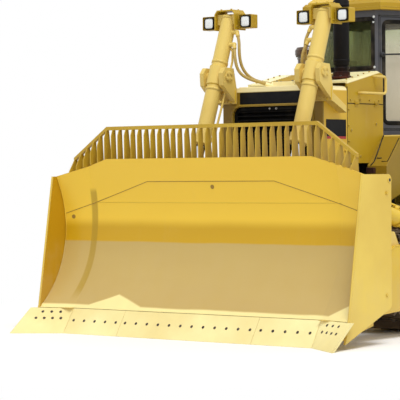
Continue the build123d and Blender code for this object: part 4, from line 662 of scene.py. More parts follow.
@dataclass
class Form:
    """A mesh under construction in the machine's frame; its signs tell on which sides parts appear."""

    signs: tuple[int, ...] = ONE
    mesh: bmesh.types.BMesh = field(default_factory=bmesh.new)
    finishes: list[Look] = field(default_factory=list)

    def close(self, faces: Iterable[bmesh.types.BMFace], finish: Look, bevel: float, smooth: bool) -> None:
        """Turn a part's faces outwards, break its edges and give it its finish.

        Args:
            faces: The part's faces.
            finish: Its finish.
            bevel: Width of the broken edges, 0 for none.
            smooth: Whether the part is shaded smooth.
        """
        faces = list(faces)
        if finish not in self.finishes:
            self.finishes.append(finish)
        bmesh.ops.recalc_face_normals(self.mesh, faces=faces)
        for face in faces:
            face.material_index = self.finishes.index(finish)
            face.smooth = smooth
        if bevel:
            edges = {e for f in faces for e in f.edges if e.calc_face_angle(0) > 0.5}
            settings = {"segments": 2, "profile": 0.6, "affect": "EDGES", "clamp_overlap": True}
            made = bmesh.ops.bevel(self.mesh, geom=list(edges), offset=bevel, **settings)
            for face in made["faces"]:
                face.material_index = self.finishes.index(finish)

    def loft(
        self,
        loops: Sequence[Line],
        finish: Look,
        bevel: float = 0.0,
        smooth: bool = False,
        closed: bool = False,
    ) -> None:
        """Skin over loops with as many points each.

        Args:
            loops: Rings of points, in order.
            finish: The part's finish.
            bevel: Width of the broken edges.
            smooth: Whether the part is shaded smooth.
            closed: Whether the last ring joins the first; else both ends are capped.
        """
        for sign in self.signs:
            rings = [[self.mesh.verts.new(flipped(p, sign)) for p in loop] for loop in loops]
            pairs = list(zip(rings, rings[1:])) + ([(rings[-1], rings[0])] if closed else [])
            faces = []
            for a, b in pairs:
                for i in range(len(a)):
                    j = (i + 1) % len(a)
                    faces.append(self.mesh.faces.new((a[i], a[j], b[j], b[i])))
            if not closed:
                faces += [self.mesh.faces.new(rings[0]), self.mesh.faces.new(rings[-1])]
            self.close(faces, finish, bevel, smooth)

    def block(self, low: Point, high: Point, finish: Look, bevel: float = 0.004) -> None:
        """Box between two corners, with broken edges."""
        (x0, y0, z0), (x1, y1, z1) = low, high
        ring = ((x0, y0), (x1, y0), (x1, y1), (x0, y1))
        self.loft([[(x, y, z) for x, y in ring] for z in (z0, z1)], finish, bevel)

    def prism(self, outline: Line, y0: float, y1: float, finish: Look, bevel: float = 0.004) -> None:
        """An outline in x and z, carried from one y to another."""
        self.loft([[(x, y, z) for x, z in outline] for y in (y0, y1)], finish, bevel)

    def plate(self, outline: Line, x0: float, x1: float, finish: Look, bevel: float = 0.004) -> None:
        """An outline in y and z, carried from one x to another."""
        self.loft([[(x, y, z) for y, z in outline] for x in (x0, x1)], finish, bevel)

    def turned(
        self,
        profile: Sequence[Pair],
        origin: Point,
        axis: Point,
        finish: Look,
        sides: int = 24,
        smooth: bool = True,
        closed: bool = False,
    ) -> None:
        """Turned part from (distance along the axis, radius) pairs; its ends are capped unless it is a ring.

        Args:
            profile: Pairs along the axis.
            origin: Where the axis starts.
            axis: Its direction.
            finish: The part's finish.
            sides: Facets round it.
            smooth: Whether it is shaded smooth.
            closed: Whether the last pair runs back to the first, as in an open ring.
        """
        turn = UP.rotation_difference(Vector(axis))
        origin = Vector(origin)
        loops = []
        for along, radius in profile:
            ring = [
                (radius * math.cos(a), radius * math.sin(a), along)
                for a in (math.tau * (i + 0.5) / sides for i in range(sides))
            ]
            loops.append([origin + turn @ Vector(p) for p in ring])
        self.loft(loops, finish, 0.0, smooth, closed)

    def tube(self, path: Line, radius: float, finish: Look, sides: int = 10) -> None:
        """Round bar along a path, capped at both ends.

        Args:
            path: Points of its centre line.
            radius: Its radius.
            finish: Its finish.
            sides: Facets round it.
        """
        points = [Vector(p) for p in path]
        loops = []
        normal = None
        for i, point in enumerate(points):
            ahead = points[min(i + 1, len(points) - 1)] - points[max(i - 1, 0)]
            ahead.normalize()
            if normal is None:
                normal = ahead.orthogonal().normalized()
            normal = (normal - ahead * normal.dot(ahead)).normalized()
            other = ahead.cross(normal)
            ring = (math.tau * k / sides for k in range(sides))
            loops.append([point + (normal * math.cos(a) + other * math.sin(a)) * radius for a in ring])
        self.loft(loops, finish, 0.0, True)

    def piece(
        self, name: str, body: str = HULL, slot: str = YELLOW_SLOT, replaces: Sequence[str] = ()
    ) -> bpy.types.Object:
        """Finish the mesh as a piece that rides on a body.

        Args:
            name: The piece's name.
            body: The CAD body it moves with.
            slot: Name of a record material slot, handed on to settle().
            replaces: CAD nodes it stands for.

        Returns:
            The piece.
        """
        data = bpy.data.meshes.new(name)
        self.mesh.to_mesh(data)
        self.mesh.free()
        for finish in self.finishes:
            data.materials.append(finish.material())
        return settle(bpy.data.objects.new(name, data), body, slot, replaces)


def settle(piece: bpy.types.Object, body: str, slot: str, replaces: Sequence[str] = ()) -> bpy.types.Object:
    """Link a piece, make it ride on its body and hide the CAD nodes it stands for.

    Args:
        piece: The finished object.
        body: The CAD body it moves with.
        slot: Not used.
        replaces: CAD nodes it stands for.

    Returns:
        The same piece.
    """
    if piece.name not in bpy.context.scene.collection.objects:
        bpy.context.scene.collection.objects.link(piece)
    if body:
        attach(piece, body)
    if replaces:
        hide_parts(*replaces)
    LOG.info("%s on %s, %d faces", piece.name, body or "two bodies", len(piece.data.polygons))
    return piece


def arc(centre: Point, radius: float, start: float, end: float, count: int) -> list[Pair]:
    """Points on an arc in a plane.

    Args:
        centre: Its centre.
        radius: Its radius.
        start: First angle in degrees.
        end: Last angle in degrees.
        count: Number of steps.

    Returns:
        The points, both ends included.
    """
    steps = (math.radians(start + (end - start) * i / count) for i in range(count + 1))
    return [(centre[0] + radius * math.cos(a), centre[1] + radius * math.sin(a)) for a in steps]


def rounded(
    half_width: float, half_height: float, corner: float, steps: int = 4, centre: Point = (0.0, 0.0)
) -> list[Pair]:
    """Outline of a rectangle with round corners.

    Args:
        half_width: Half of its first side.
        half_height: Half of its second side.
        corner: Radius of its corners.
        steps: Steps in each corner.
        centre: Its centre.

    Returns:
        The outline, anticlockwise.
    """
    w, h = half_width - corner, half_height - corner
    quarters = ((w, h), (-w, h), (-w, -h), (w, -h))
    places = [((centre[0] + a, centre[1] + b), 90 * i) for i, (a, b) in enumerate(quarters)]
    return [p for place, start in places for p in arc(place, corner, start, start + 90, steps)]


def spread(first: Point, last: Point, count: int) -> list[Vector]:
    """Evenly spaced places from one to another, both included."""
    start, end = Vector(first), Vector(last)
    return [start.lerp(end, i / max(count - 1, 1)) for i in range(count)]


# ---------------------------------------------------------------- geometry nodes
class Grower:
    """A Geometry Nodes tree built once, with named inputs for its sizes."""

    name = "grower"
    inputs: tuple[tuple[str, str, object], ...] = ()

    def __init__(self) -> None:
        """Build the tree."""
        tree = bpy.data.node_groups.new(self.name, "GeometryNodeTree")
        tree.interface.new_socket("Geometry", in_out="INPUT", socket_type="NodeSocketGeometry")
        tree.interface.new_socket("Geometry", in_out="OUTPUT", socket_type="NodeSocketGeometry")
        self.identifiers = {}
        for label, kind, value in (*self.inputs, ("Finish", "Material", None)):
            socket = tree.interface.new_socket(label, in_out="INPUT", socket_type="NodeSocket" + kind)
            if value is not None:
                socket.default_value = value
            self.identifiers[label] = socket.identifier
        self.tree = tree
        graph = Graph(tree)
        given = graph.add("NodeGroupInput")
        grown = self.body(graph, given)
        real = graph.add("GeometryNodeRealizeInstances", sockets={0: grown})
        sockets = {"Geometry": real, "Material": given.out("Finish")}
        dressed = graph.add("GeometryNodeSetMaterial", sockets=sockets)
        graph.add("NodeGroupOutput", sockets={0: dressed})

    def body(self, g: Graph, given: Term) -> Term:
        """The tree between its inputs and Realize Instances."""
        raise NotImplementedError

    def grow(self, name: str, seeds: bpy.types.Mesh, finish: Look, **sizes: object) -> bpy.types.Object:
        """Run the tree on seeds and keep its result as a plain mesh.

        Args:
            name: The new object's name.
            seeds: Points, edges or a mesh that the tree starts from.
            finish: Finish of the result.
            **sizes: The tree's inputs, with _ for a space.

        Returns:
            The object, with no modifier.
        """
        holder = bpy.data.objects.new(name, seeds)
        bpy.context.scene.collection.objects.link(holder)
        modifier = holder.modifiers.new("grow", "NODES")
        modifier.node_group = self.tree
        for label, value in sizes.items():
            modifier[self.identifiers[label.replace("_", " ")]] = value
        modifier[self.identifiers["Finish"]] = finish.material()
        bpy.context.view_layer.update()
        graph = bpy.context.evaluated_depsgraph_get()
        result = bpy.data.meshes.new_from_object(holder.evaluated_get(graph))
        holder.modifiers.remove(modifier)
        holder.data = result
        result.name = name
        if finish.material().name not in result.materials:
            result.materials.append(finish.material())
        return holder


def seed_points(places: Sequence[Seed]) -> bpy.types.Mesh:
    """Loose points, each with the way it faces and the way it runs.

    Args:
        places: (point, facing, running) triples.

    Returns:
        The mesh of points.
    """
    mesh = bpy.data.meshes.new("seeds")
    mesh.from_pydata([tuple(p) for p, _, _ in places], [], [])
    for label, index in (("facing", 1), ("running", 2)):
        values = mesh.attributes.new(label, "FLOAT_VECTOR", "POINT")
        values.data.foreach_set("vector", [c for place in places for c in place[index]])
    return mesh


def turned_to(g: Graph, points: Term, shape: Term) -> Term:
    """Instances of a shape on points, upright along "facing" and turned along "running"."""
    ways = [
        g.add("GeometryNodeInputNamedAttribute", {"data_type": "FLOAT_VECTOR"}, {"Name": label})
        for label in ("facing", "running")
    ]
    upright = g.add("FunctionNodeAlignRotationToVector", {"axis": "Z"}, {"Vector": ways[0]})
    settings, sockets = {"axis": "X", "pivot_axis": "Z"}, {"Rotation": upright, "Vector": ways[1]}
    turned = g.add("FunctionNodeAlignRotationToVector", settings, sockets)
    sockets = {"Points": points, "Instance": shape, "Rotation": turned}
    return g.add("GeometryNodeInstanceOnPoints", sockets=sockets)


def vector(g: Graph, x: object = 0.0, y: object = 0.0, z: object = 0.0) -> Term:
    """A vector from three numbers or links."""
    return g.add("ShaderNodeCombineXYZ", sockets={0: x, 1: y, 2: z})


def moved(g: Graph, shape: Term, place: Term, turn: Point = (0, 0, 0)) -> Term:
    """A shape turned and put in place inside a tree."""
    sockets = {"Geometry": shape, "Translation": place, "Rotation": tuple(turn)}
    return g.add("GeometryNodeTransform", sockets=sockets)


def joined(g: Graph, *shapes: Term) -> Term:
    """Several shapes as one inside a tree."""
    join = g.add("GeometryNodeJoinGeometry")
    for shape in shapes:
        g.tree.links.new(shape.socket, join.node.inputs[0])
    return join


def drum(g: Graph, radius: object, depth: object, sides: object) -> Term:
    """A closed drum about Z that stands on the origin inside a tree."""
    sockets = {"Vertices": sides, "Radius": radius, "Depth": depth}
    made = g.add("GeometryNodeMeshCylinder", sockets=sockets)
    lift = depth * 0.5
    return moved(g, made, vector(g, z=lift))


class BoltTree(Grower):
    """Bolts with washers on seed points."""

    name = "bolts"
    inputs = (
        ("Head Radius", "Float", 0.015),
        ("Head Height", "Float", 0.012),
        ("Sides", "Int", 6),
    )

    def body(self, g: Graph, given: Term) -> Term:
        """A washer under a head, on every point."""
        radius, height = given.out("Head Radius"), given.out("Head Height")
        washer = drum(g, radius * 1.4, height * 0.25, 14)
        head = drum(g, radius, height, given.out("Sides"))
        raised = moved(g, head, vector(g, z=height * 0.25))
        return turned_to(g, given.out("Geometry"), joined(g, washer, raised))


class SlatTree(Grower):
    """Flat bars on seed points, long across the machine."""

    name = "slats"
    inputs = (("Length", "Float", 1.0), ("Width", "Float", 0.05), ("Thickness", "Float", 0.006))

    def body(self, g: Graph, given: Term) -> Term:
        """A bar on every point: its width runs along "running", its thickness along "facing"."""
        size = vector(g, given.out("Width"), given.out("Length"), given.out("Thickness"))
        return turned_to(g, given.out("Geometry"), g.add("GeometryNodeMeshCube", sockets={"Size": size}))


class BeadTree(Grower):
    """Weld beads along the seed edges, with the ripples of each run."""

    name = "beads"
    inputs = (("Radius", "Float", 0.006), ("Ripple", "Float", 0.024), ("Depth", "Float", 0.14))

    def body(self, g: Graph, given: Term) -> Term:
        """A round profile carried along the seams, fuller at every second ring."""
        line = g.add("GeometryNodeMeshToCurve", sockets={0: given.out("Geometry")})
        sockets = {"Curve": line, "Length": given.out("Ripple") * 0.5}
        even = g.add("GeometryNodeResampleCurve", {"mode": "LENGTH"}, sockets)
        wave = (g.add("GeometryNodeInputIndex") * math.pi).math("COSINE")
        sockets = {"Resolution": 6, "Radius": given.out("Radius")}
        ring = g.add("GeometryNodeCurvePrimitiveCircle", sockets=sockets)
        sockets = {"Curve": even, "Profile Curve": ring, "Scale": wave * given.out("Depth") + 1.0}
        return g.add("GeometryNodeCurveToMesh", sockets={**sockets, "Fill Caps": True})


class ShoeTree(Grower):
    """Track shoes with grousers, links, pins and bolts on seed points."""

    name = "track_shoes"
    inputs = (
        ("Pitch", "Float", 0.26),
        ("Shoe Width", "Float", 0.61),
        ("Plate", "Float", 0.025),
        ("Grouser", "Float", 0.095),
        ("Link Height", "Float", 0.17),
        ("Link Place", "Float", 0.12),
        ("Link Width", "Float", 0.046),
    )

    def body(self, g: Graph, given: Term) -> Term:
        """One shoe above the pin line, on every point."""
        pitch, width = given.out("Pitch"), given.out("Shoe Width")
        plate, grouser = given.out("Plate"), given.out("Grouser")
        height, place, thick = given.out("Link Height"), given.out("Link Place"), given.out("Link Width")
        half = height * 0.5
        cube, pipe = "GeometryNodeMeshCube", "GeometryNodeMeshCylinder"
        sole = g.add(cube, sockets={"Size": vector(g, pitch * 0.97, width, plate)})
        parts = [moved(g, sole, vector(g, z=half + plate * 0.5))]
        lip = g.add(cube, sockets={"Size": vector(g, pitch * 0.14, width * 0.98, plate * 0.7)})
        parts.append(moved(g, lip, vector(g, pitch * -0.45, 0.0, half - plate * 0.1), (0, -0.5, 0)))
        blade = g.add(cube, sockets={"Size": vector(g, pitch * 0.2, width, grouser)})
        parts.append(moved(g, self.tapered(g, blade), vector(g, 0.0, 0.0, half + plate + grouser * 0.5)))
        for side in (-1.0, 1.0):
            link = g.add(cube, sockets={"Size": vector(g, pitch * 0.8, thick, height * 0.9)})
            parts.append(moved(g, link, vector(g, 0.0, place * side, height * 0.04)))
            for end, share in ((-0.5, 1.0), (0.5, 0.74)):
                boss = g.add(pipe, sockets={"Vertices": 16, "Radius": height * 0.44, "Depth": thick * 0.7})
                spot = vector(g, pitch * end, place * (side * share), 0.0)
                parts.append(moved(g, boss, spot, (math.pi / 2, 0, 0)))
            for x in (-0.26, 0.26):
                bolt = drum(g, 0.02, plate * 0.8, 6)
                parts.append(moved(g, bolt, vector(g, pitch * x, place * side, half + plate)))
        pin = g.add(pipe, sockets={"Vertices": 14, "Radius": height * 0.22, "Depth": place * 2.62})
        parts.append(moved(g, pin, vector(g, pitch * 0.5), (math.pi / 2, 0, 0)))
        return turned_to(g, given.out("Geometry"), joined(g, *parts))

    @staticmethod
    def tapered(g: Graph, bar: Term) -> Term:
        """A bar whose upper side is narrower than its foot."""
        place = g.add("GeometryNodeInputPosition")
        cut = [g.add("ShaderNodeSeparateXYZ", sockets={0: place}, output=a) for a in "XYZ"]
        above = cut[2].math("GREATER_THAN", 0.0)
        narrow = vector(g, cut[0] * (1.0 - above * 0.58), cut[1], cut[2])
        return g.add("GeometryNodeSetPosition", sockets={"Geometry": bar, "Position": narrow})


@cache
def grower(kind: type[Grower]) -> Grower:
    """The one tree of a kind."""
    return kind()


@dataclass
class Bolts:
    """Bolts of one size on one body, put in place together."""

    name: str
    body: str = HULL
    finish: Look = Look.YELLOW
    head: float = 0.014
    height: float = 0.011
    sides: int = 6
    slot: str = YELLOW_SLOT
    signs: tuple[int, ...] = ONE
    places: list[Seed] = field(default_factory=list)

    def put(self, point: Vector, facing: Vector) -> None:
        """One bolt just there, facing a way."""
        ahead = facing.normalized()
        self.places.append((point, ahead, ahead.orthogonal().normalized()))

    def at(self, point: Point, facing: Point) -> None:
        """One bolt on each side, facing a way."""
        for sign in self.signs:
            self.put(flipped(point, sign), flipped(facing, sign))

    def row(self, first: Point, last: Point, count: int, facing: Point) -> None:
        """Evenly spaced bolts from one place to another."""
        for point in spread(first, last, count):
            self.at(point, facing)

    def ring(
        self, centre: Point, facing: Point, radius: float, count: int, start: float = 0.0
    ) -> None:
        """Bolts round a circle.

        Args:
            centre: The circle's centre.
            facing: The way its bolts face.
            radius: Its radius.
            count: Number of bolts.
            start: Angle of the first one in degrees.
        """
        for sign in self.signs:
            ahead = flipped(facing, sign)
            turn = UP.rotation_difference(ahead)
            for a, b in arc((0, 0), radius, start, start + 360, count)[:-1]:
                self.put(flipped(centre, sign) + turn @ Vector((a, b, 0)), ahead)

    def build(self) -> None:
        """Put the bolts on as one piece."""
        seeds = seed_points(self.places)
        sizes = {"Head_Radius": self.head, "Head_Height": self.height, "Sides": self.sides}
        settle(grower(BoltTree).grow(self.name, seeds, self.finish, **sizes), self.body, self.slot)


@dataclass
class Welds:
    """Weld beads on one body, laid together."""

    name: str
    body: str = HULL
    finish: Look = Look.YELLOW
    radius: float = 0.006
    signs: tuple[int, ...] = ONE
    lines: list[list[Vector]] = field(default_factory=list)

    def along(self, *points: Point) -> None:
        """A bead along some points."""
        self.lines += [[flipped(p, sign) for p in points] for sign in self.signs]

    def round(self, centre: Point, axis: Point, radius: float, steps: int = 28) -> None:
        """A bead round a circle."""
        turn = UP.rotation_difference(Vector(axis))
        circle = arc((0, 0), radius, 0, 360, steps)
        self.along(*(Vector(centre) + turn @ Vector((a, b, 0)) for a, b in circle))

    def build(self) -> None:
        """Lay the beads as one piece."""
        points, edges = [], []
        for line in self.lines:
            edges += [(len(points) + i, len(points) + i + 1) for i in range(len(line) - 1)]
            points += line
        mesh = bpy.data.meshes.new("seams")
        mesh.from_pydata(points, edges, [])
        piece = grower(BeadTree).grow(self.name, mesh, self.finish, Radius=self.radius)
        settle(piece, self.body, YELLOW_SLOT)


def surface_of(name: str) -> BVHTree:
    """A frame part's surface, to lay fittings on.

    Args:
        name: The part's name.

    Returns:
        Its faces as a search tree in the machine's frame.
    """
    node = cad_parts[name]
    points = [node.matrix_world @ v.co for v in node.data.vertices]
    return BVHTree.FromPolygons(points, [tuple(p.vertices) for p in node.data.polygons])


def met(surface: BVHTree, start: Point, heading: Point) -> tuple[Vector, Vector]:
    """Where a line meets a surface.

    Args:
        surface: The surface.
        start: The line's start.
        heading: Its direction.

    Returns:
        The place and the surface's outward direction there.
    """
    place, normal, _, _ = surface.ray_cast(Vector(start), Vector(heading))
    return place, normal if normal.dot(Vector(heading)) < 0 else -normal


def bolted(
    form: Form,
    bolts: Bolts,
    profile: Sequence[Pair],
    place: Point,
    axis: Point,
    finish: Look,
    ring: tuple[float, float, int, float],
    sides: int = 24,
) -> None:
    """A turned cap that carries a ring of bolts.

    Args:
        form: Where the cap is added.
        bolts: Where its bolts are added.
        profile: The cap's profile, as for Form.turned().
        place: The foot of its axis.
        axis: The axis's direction.
        finish: The cap's finish.
        ring: The bolts' height on the axis, circle, number and first angle.
        sides: Facets round the cap.
    """
    form.turned(profile, place, axis, finish, sides)
    height, radius, count, start = ring
    bolts.ring(Vector(place) + Vector(axis) * height, axis, radius, count, start)


def slats(
    name: str, places: Sequence[Seed], finish: Look, slot: str, length: float, width: float, thickness: float
) -> None:
    """Grow flat bars on some places as one piece of the hull.

    Args:
        name: The piece's name.
        places: (point, facing, running) of each bar.
        finish: Their finish.
        slot: The record's material slot.
        length: A bar's length, across the way that it runs.
        width: Its width, along the way that it runs.
        thickness: Its thickness.
    """
    sizes = {"Length": length, "Width": width, "Thickness": thickness}
    settle(grower(SlatTree).grow(name, seed_points(places), finish, **sizes), HULL, slot)


Place = Callable[[float, float, float], Triple]
DOOR_OUT = (0.4061, 0.9138, 0.0)


def door_wall(s: float, h: float, t: float) -> Triple:
    """A place on the left door's wall from (along, up, out)."""
    return 0.15 - DOOR_OUT[1] * s + DOOR_OUT[0] * t, 0.48 + DOOR_OUT[0] * s + DOOR_OUT[1] * t, 2.4 + h


def front_wall(s: float, h: float, t: float) -> Triple:
    """A place on the cab's front wall from (left, up, out)."""
    return 0.15 + t, s, h


def rear_wall(s: float, h: float, t: float) -> Triple:
    """A place on the cab's rear wall from (left, up, out)."""
    return -1.45 - t, s, h


def side_wall(s: float, h: float, t: float) -> Triple:
    """A place on the cab's left side behind the door from (forwards, up, out)."""
    return s, 0.88 + t, h


def on(wall: Place, points: Iterable[Point]) -> list[Triple]:
    """Places on a wall."""
    return [wall(*p) for p in points]


def gasket(
    form: Form, place: Place, span: Sequence[float], corner: float, width: float, proud: float, finish: Look
) -> None:
    """Rubber or trim ring round an opening in a wall.

    Args:
        form: Where it is added.
        place: The wall's own axes.
        span: The opening's (low, high, bottom, top) on the wall.
        corner: Radius of the opening's corners.
        width: The ring's width.
        proud: How far it stands out.
        finish: Its finish.
    """
    s0, s1, h0, h1 = span
    centre = ((s0 + s1) / 2, (h0 + h1) / 2)
    loops = []
    for grow, out in ((0.6, -0.004), (0.6, 0.6), (0.35, 1.0), (-0.2, 1.0), (-0.4, 0.5), (-0.4, -0.004)):
        more = width * grow
        outline = rounded((s1 - s0) / 2 + more, (h1 - h0) / 2 + more, corner + more, centre=centre)
        reach = out * proud if out > 0 else out
        loops.append([place(a, b, reach) for a, b in outline])
    form.loft(loops, finish, closed=True)


# ---------------------------------------------------------------- studio
@dataclass
class Studio:
    """Camera, lights, floor and white surroundings."""

    eye: Triple = (21.4475, 15.2939, 1.9365)
    yaw: float = 219.758
    pitch: float = -0.752
    roll: float = -0.463
    lens: float = 183.66
    surroundings: float = 0.6
    lamps: tuple[tuple[str, float, float, Triple], ...] = (
        ("key_sun", 2.0, 24.0, (-0.22, -0.4, -0.89)),
        ("front_sun", 0.3, 60.0, (-0.9, -0.3, -0.3)),
    )
    floor_half: float = 60.0
    fade: Pair = (4.5, 9.0)

    def build(self) -> None:
        """Set up everything round the machine."""
        for part in (self.camera, self.lights, self.floor, self.world):
            part()
        bpy.context.scene.view_settings.view_transform = "Standard"

    def camera(self) -> None:
        """Camera with its turns about the upright, its own side and its line of sight."""
        yaw, pitch, roll = (math.radians(a) for a in (self.yaw, self.pitch, self.roll))
        ahead = Vector((math.cos(pitch) * math.cos(yaw), math.cos(pitch) * math.sin(yaw), math.sin(pitch)))
        right = ahead.cross(UP).normalized()
        over = right.cross(ahead)
        across = right * math.cos(roll) + over * math.sin(roll)
        above = over * math.cos(roll) - right * math.sin(roll)
        data = bpy.data.cameras.new("camera")
        data.lens, data.sensor_width, data.sensor_fit = self.lens, 36.0, "HORIZONTAL"
        data.clip_end = 300.0
        camera = bpy.data.objects.new("camera", data)
        turn = Matrix((across, above, -ahead)).transposed().to_4x4()
        camera.matrix_world = Matrix.Translation(self.eye) @ turn
        bpy.context.scene.collection.objects.link(camera)
        bpy.context.scene.camera = camera

    def lights(self) -> None:
        """Wide soft suns, so that the light is level from every side."""
        for name, strength, angle, heading in self.lamps:
            data = bpy.data.lights.new(name, "SUN")
            data.energy, data.angle = strength, math.radians(angle)
            lamp = bpy.data.objects.new(name, data)
            lamp.rotation_euler = Vector(heading).to_track_quat("-Z", "Y").to_euler()
            bpy.context.scene.collection.objects.link(lamp)

    def floor(self) -> None:
        """White floor that takes the shadow and fades into the surroundings."""
        half = self.floor_half
        corners = [(x * half, y * half, 0) for x, y in ((-1, -1), (1, -1), (1, 1), (-1, 1))]
        data = bpy.data.meshes.new("studio_floor")
        data.from_pydata(corners, [], [(0, 1, 2, 3)])
        data.materials.append(self.floor_material())
        floor = bpy.data.objects.new("studio_floor", data)
        bpy.context.scene.collection.objects.link(floor)
        floor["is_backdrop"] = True

    def floor_material(self) -> bpy.types.Material:
        """Matt white that turns to plain white light for the camera, away from the machine."""
        made = bpy.data.materials.new("studio_floor")
        made.use_nodes = True
        made.node_tree.nodes.clear()
        g = Shades(made.node_tree)
        flat = g.scaled(g.place(), (1, 1.3, 0))
        reach = g.add("ShaderNodeVectorMath", {"operation": "LENGTH"}, {0: flat}, "Value")
        seen = self.seen(g)
        matt = g.add("ShaderNodeBsdfDiffuse", sockets={"Color": (0.9, 0.9, 0.9, 1)})
        white = g.add("ShaderNodeEmission", sockets={"Color": (1, 1, 1, 1), "Strength": 1.0})
        share = reach.step(*self.fade) * seen
        mixed = g.add("ShaderNodeMixShader", sockets={0: share, 1: matt, 2: white})
        g.add("ShaderNodeOutputMaterial", sockets={"Surface": mixed})
        return made

    @staticmethod
    def seen(g: Shades) -> Term:
        """1 for what the eye, a mirror or a pane shows, and 0 for light that falls on things."""
        path = g.add("ShaderNodeLightPath", output="Is Camera Ray")
        shown = path.math("MAXIMUM", path.out("Is Glossy Ray"))
        return shown.math("MAXIMUM", path.out("Is Transmission Ray"))

    def world(self) -> None:
        """White surroundings, plainer in the light that they cast."""
        world = bpy.data.worlds.new("surroundings")
        world.use_nodes = True
        world.node_tree.nodes.clear()
        g = Shades(world.node_tree)
        strength = self.seen(g) * (1.0 - self.surroundings) + self.surroundings
        light = g.add("ShaderNodeBackground", sockets={"Color": (1, 1, 1, 1), "Strength": strength})
        g.add("ShaderNodeOutputWorld", sockets={"Surface": light})
        bpy.context.scene.world = world


# ---------------------------------------------------------------- hoses
@dataclass
class Hoses:
    """Lift hoses that hang from the guard's manifold to the barrels."""

    radius: float = 0.019
    runs: tuple[tuple[str, float, tuple[Triple, ...]], ...] = (
        ("outer", 0.84, (
            (1.6424, 0.5473, 3.6295), (1.657, 0.5193, 3.567), (1.668, 0.51, 3.49), (1.668, 0.508, 3.41),
            (1.655, 0.505, 3.325), (1.63, 0.495, 3.245), (1.59, 0.465, 3.165), (1.54, 0.415, 3.105),
            (1.484, 0.35, 3.068), (1.4317, 0.2755, 3.0505), (1.4, 0.215, 3.035),
        )),
        ("inner", 0.67, (
            (1.7057, 0.5542, 3.4738), (1.7285, 0.5341, 3.4108), (1.738, 0.518, 3.34), (1.732, 0.508, 3.27),
            (1.712, 0.49, 3.2), (1.68, 0.455, 3.145), (1.635, 0.405, 3.105), (1.585, 0.345, 3.076),
            (1.5333, 0.2903, 3.0573), (1.49, 0.24, 3.035),
        )),
    )

    def line(self, name: str, route: Line) -> list[Vector]:
        """Points of the smooth line that the hose follows.

        Args:
            name: The hose's name.
            route: Its control points.

        Returns:
            Points along the line.
        """
        curve = bpy.data.curves.new(name + "_route", "CURVE")
        curve.dimensions = "3D"
        curve.resolution_u = 10
        spline = curve.splines.new("NURBS")
        spline.points.add(len(route) - 1)
        for point, place in zip(spline.points, route):
            point.co = (*place, 1)
        spline.order_u = 3
        spline.use_endpoint_u = True
        holder = bpy.data.objects.new(name + "_route", curve)
        bpy.context.scene.collection.objects.link(holder)
        graph = bpy.context.evaluated_depsgraph_get()
        mesh = bpy.data.meshes.new_from_object(holder.evaluated_get(graph))
        points = [v.co.copy() for v in mesh.vertices]
        bpy.data.objects.remove(holder)
        return points

    def build(self) -> None:
        """Four hoses, two a side."""
        for side, sign in SIDES:
            for kind, length, route in self.runs:
                name = f"lift_hose_{kind}_{side}"
                path = self.line(name, [(x, y * sign, z) for x, y, z in route])
                form = Form()
                form.tube(path, self.radius, Look.HOSE, 14)
                hose = form.piece(name, "", "hose_rubber", (f"hose_{kind}_{side}",))
                tuple(path[-1])
                2 * self.radius
                [tuple(p) for p in reversed(path)]
                tuple(path[-1])
                tuple(path[0])
                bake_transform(hose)
                LOG.info("%s is %.3f m long", name, sum((b - a).length for a, b in zip(path, path[1:])))


# ---------------------------------------------------------------- frame parts
@dataclass
class FrameFinishes:
    """Finishes of the parts that keep their own shape; * stands for left and for right."""

    names: tuple[tuple[Look, str], ...] = (
        (Look.YELLOW, "blade_back blade_lugs drawbar main_frame equalizer_bar rollover_frame"),
        (Look.YELLOW, "final_drive_* push_arm_* tilt_barrel_* track_frame_*"),
        (Look.PALE, "lift_yokes handrails lift_barrel_*"),
        (Look.SHADED_YELLOW, "cab_roof fuel_tank hood_sides hydraulic_tank"),
        (Look.HOOD, "hood_top"),
        (Look.FENDER, "fender_*"),
        (Look.GUARD, "radiator_guard"),
        (Look.SIDE, "side_plates"),
        (Look.SPILL, "spill_guard"),
        (Look.BLADE, "moldboard"),
        (Look.EDGE, "cutting_edges"),
        (Look.CHARCOAL, "cab_shell door_*"),
        (Look.PLASTIC, "cab_floor console"),
        (Look.GRILLE, "radiator_grille radiator_core engine_block"),
        (Look.GLASS, "door_glass_*"),
        (Look.TINTED, "cab_glass"),
        (Look.EXHAUST, "exhaust_stack"),
        (Look.BOWL, "precleaner"),
        (Look.TRACK, "sprocket_* idlers_and_rollers_*"),
        (Look.CHROME, "lift_rod_* tilt_rod_*"),
    )

    def dress(self) -> None:
        """Give every node its finish."""
        for finish, names in self.names:
            for name in names.split():
                for side, _ in SIDES if "*" in name else SIDES[:1]:
                    self.finish(name.replace("*", side), finish)

    @staticmethod
    def finish(name: str, finish: Look) -> None:
        """Put a finish on a node's own slots."""
        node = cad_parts[name]
        if not node.material_slots:
            node.data.materials.append(finish.material())
        for slot in node.material_slots:
            slot.link = "OBJECT"
            slot.material = finish.material()
        LOG.info("%s dressed in %s", name, finish.value.name)


